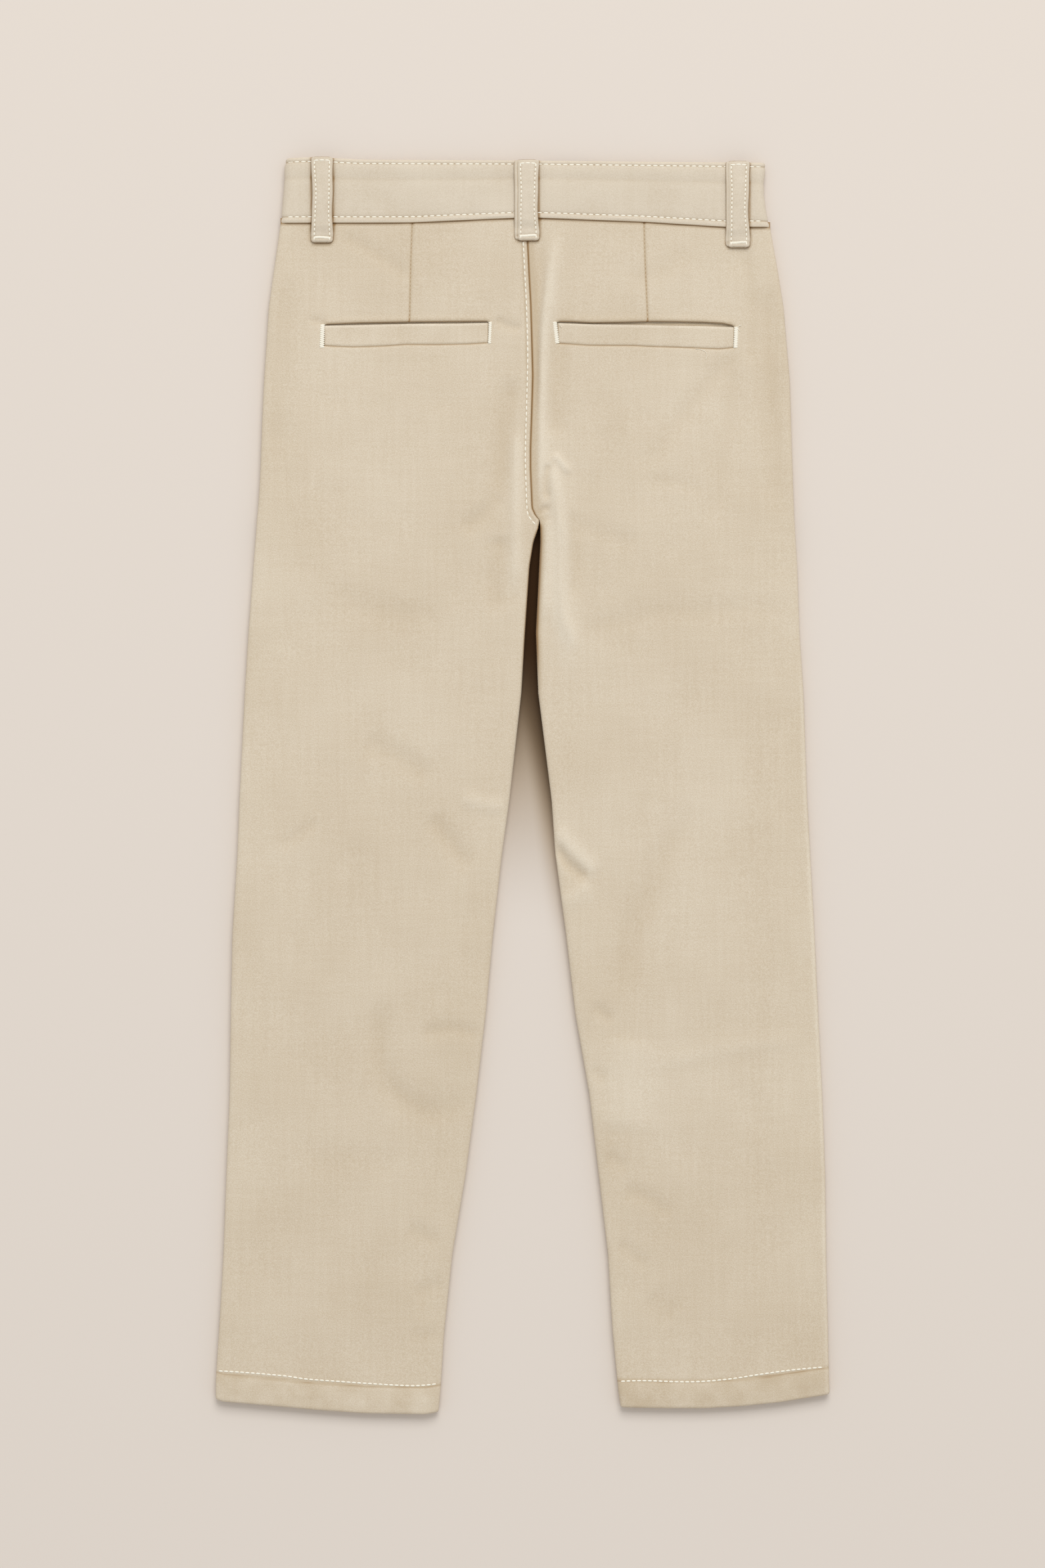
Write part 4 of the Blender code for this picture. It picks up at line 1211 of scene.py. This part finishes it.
# the button's outline, from its middle underneath round the rim, as shares of its radius and height
BUTTON_PROFILE = [(0.0, 0.30), (0.42, 0.30), (0.60, 0.26), (0.72, 0.06), (0.84, 0.0), (0.95, 0.08),
                  (1.0, 0.35), (0.99, 0.70), (0.92, 0.94), (0.80, 1.0), (0.0, 1.0)]
rim_points = [disc.verts.new((radius * rim, 0.0, height * thick)) for radius, height in BUTTON_PROFILE]
rim_edges = [disc.edges.new(pair) for pair in zip(rim_points, rim_points[1:])]
bmesh.ops.spin(disc, geom=rim_points + rim_edges, cent=(0.0, 0.0, 0.0), axis=(0.0, 0.0, 1.0),
               angle=math.tau, steps=64, use_merge=True)
bmesh.ops.remove_doubles(disc, verts=disc.verts, dist=1e-6)
bmesh.ops.recalc_face_normals(disc, faces=disc.faces)
bmesh.ops.translate(disc, verts=disc.verts, vec=(BUTTON_X * MM, BUTTON_Y * MM, 0.0))
button_mesh = bpy.data.meshes.new("waist_button_horn")
disc.to_mesh(button_mesh)
disc.free()
button_mesh.shade_smooth()
button = bpy.data.objects.new("waist_button_horn", button_mesh)
bpy.context.scene.collection.objects.link(button)
drill = bmesh.new()
HOLE_SPREAD = 1.7
HOLE_RADIUS = 0.9
DRILL_LENGTH = 8.0             # longer than the button is thick, so each hole goes through
DRILL_HEIGHT = 1.0             # of its middle
for across_x in (-1.0, 1.0):
    for across_y in (-1.0, 1.0):
        hole = ((BUTTON_X + across_x * HOLE_SPREAD) * MM, (BUTTON_Y + across_y * HOLE_SPREAD) * MM,
                DRILL_HEIGHT * MM)
        bmesh.ops.create_cone(drill, cap_ends=True, segments=20, radius1=HOLE_RADIUS * MM,
                              radius2=HOLE_RADIUS * MM, depth=DRILL_LENGTH * MM,
                              matrix=Matrix.Translation(hole))
drill_mesh = bpy.data.meshes.new("drill")
drill.to_mesh(drill_mesh)
drill.free()
drill_object = bpy.data.objects.new("drill", drill_mesh)
bpy.context.scene.collection.objects.link(drill_object)
holes = button.modifiers.new("holes", "BOOLEAN")
holes.operation = "DIFFERENCE"
holes.object = drill_object
bpy.context.view_layer.update()
drilled = bpy.data.meshes.new_from_object(button.evaluated_get(bpy.context.evaluated_depsgraph_get()))
button.modifiers.clear()
button.data = drilled
bpy.data.objects.remove(drill_object)

horn = Shader("horn_button", roughness=0.35)
grain_place = horn.node("ShaderNodeTexCoord", output="Object")
grain_map = horn.node("ShaderNodeMapping", None, {"Vector": grain_place, "Scale": (1.0, 3.5, 1.0),
                                                  "Rotation": (0.0, 0.0, 0.5)})
grain = horn.node("ShaderNodeTexNoise", None, {"Vector": grain_map, "Scale": 260.0, "Detail": 4.0})
HORN_STOPS = [(0.3, linear(92, 70, 48)), (0.7, linear(176, 148, 112)), (0.5, linear(140, 112, 80))]
streaks = horn.node("ShaderNodeValToRGB", {"stops": HORN_STOPS}, {"Fac": grain})
horn.feed(horn.surface.inputs["Base Color"], streaks)
button.data.materials.clear()
button.data.materials.append(horn.material)
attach(button, "root")
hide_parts("waist_button")

threads = bmesh.new()
for across_y in (-1.0, 1.0):
    for offset in (-0.35, 0.35):
        y = BUTTON_Y + across_y * HOLE_SPREAD + offset
        start = Vector((BUTTON_X - HOLE_SPREAD, y, 0.55))
        end = Vector((BUTTON_X + HOLE_SPREAD, y, 0.55))
        bead(threads, start, end, 0.55, 0.5)
sewn("button_thread", threads, tonal_thread.material, "button")

# ---------------------------------------------------------------------------------------------
# Floor and light: a pale paper sheet, with a shadow painted on it between the legs, under a wide, soft light
# from beyond the waist.

bpy.ops.mesh.primitive_plane_add(size=6.0, location=(0.0, 0.0, -0.0002))
floor = bpy.context.object
floor.name = "floor"
paper = Shader("paper", roughness=0.95)
ground = paper.node("ShaderNodeTexCoord", output="Object")
across, up = [paper.node("ShaderNodeSeparateXYZ", None, {"Vector": ground}, output=axis) for axis in "XY"]


def soft(value, low, high, kind="SMOOTHSTEP"):
    """0 at low, 1 at high."""
    return paper.node("ShaderNodeMapRange", {"interpolation_type": kind},
                      {"Value": value, "From Min": low, "From Max": high})


# painted shadow on the floor: hardly any light gets down between the legs below the fork, least of all
# beside the right one
fork_shade = soft(up, -0.09, 0.094, "LINEAR") * soft(up, 0.2, 0.165)
fork_shade = fork_shade * soft(across, -0.04, -0.002) * soft(across, 0.05, 0.012)
beside_right = across + up * 0.12 - 0.0159
leg_shade = soft(beside_right, -0.013, 0.001) * soft(beside_right, 0.012, 0.004)
leg_shade = leg_shade * soft(up, -0.2, 0.03) * soft(up, 0.19, 0.165) * 0.5
lit = (1.0 - fork_shade) * (1.0 - leg_shade)
dusk = paper.mix(soft(lit, 0.0, 0.6), linear(60, 40, 23), linear(168, 146, 118))
paper.feed(paper.surface.inputs["Base Color"], paper.mix(soft(lit, 0.2, 1.0), dusk, linear(227, 217, 207)))
paper.surface.inputs["Specular IOR Level"].default_value = 0.1
floor.data.materials.append(paper.material)


def area_light(name, place, size, power, colour=(1.0, 1.0, 1.0)):
    """A square lamp that looks at the middle of the garment."""
    lamp = bpy.data.lights.new(name, "AREA")
    lamp.size = size
    lamp.energy = power
    lamp.color = colour
    obj = bpy.data.objects.new(name, lamp)
    obj.location = place
    obj.rotation_euler = Vector(place).to_track_quat("Z", "Y").to_euler()
    bpy.context.scene.collection.objects.link(obj)


area_light("window", (0.5, 3.6, 4.2), 3.2, 165.0)
world = bpy.data.worlds.new("studio")
world.use_nodes = True
world.node_tree.nodes["Background"].inputs["Color"].default_value = (1.0, 1.0, 0.995, 1.0)
world.node_tree.nodes["Background"].inputs["Strength"].default_value = 0.62
bpy.context.scene.world = world
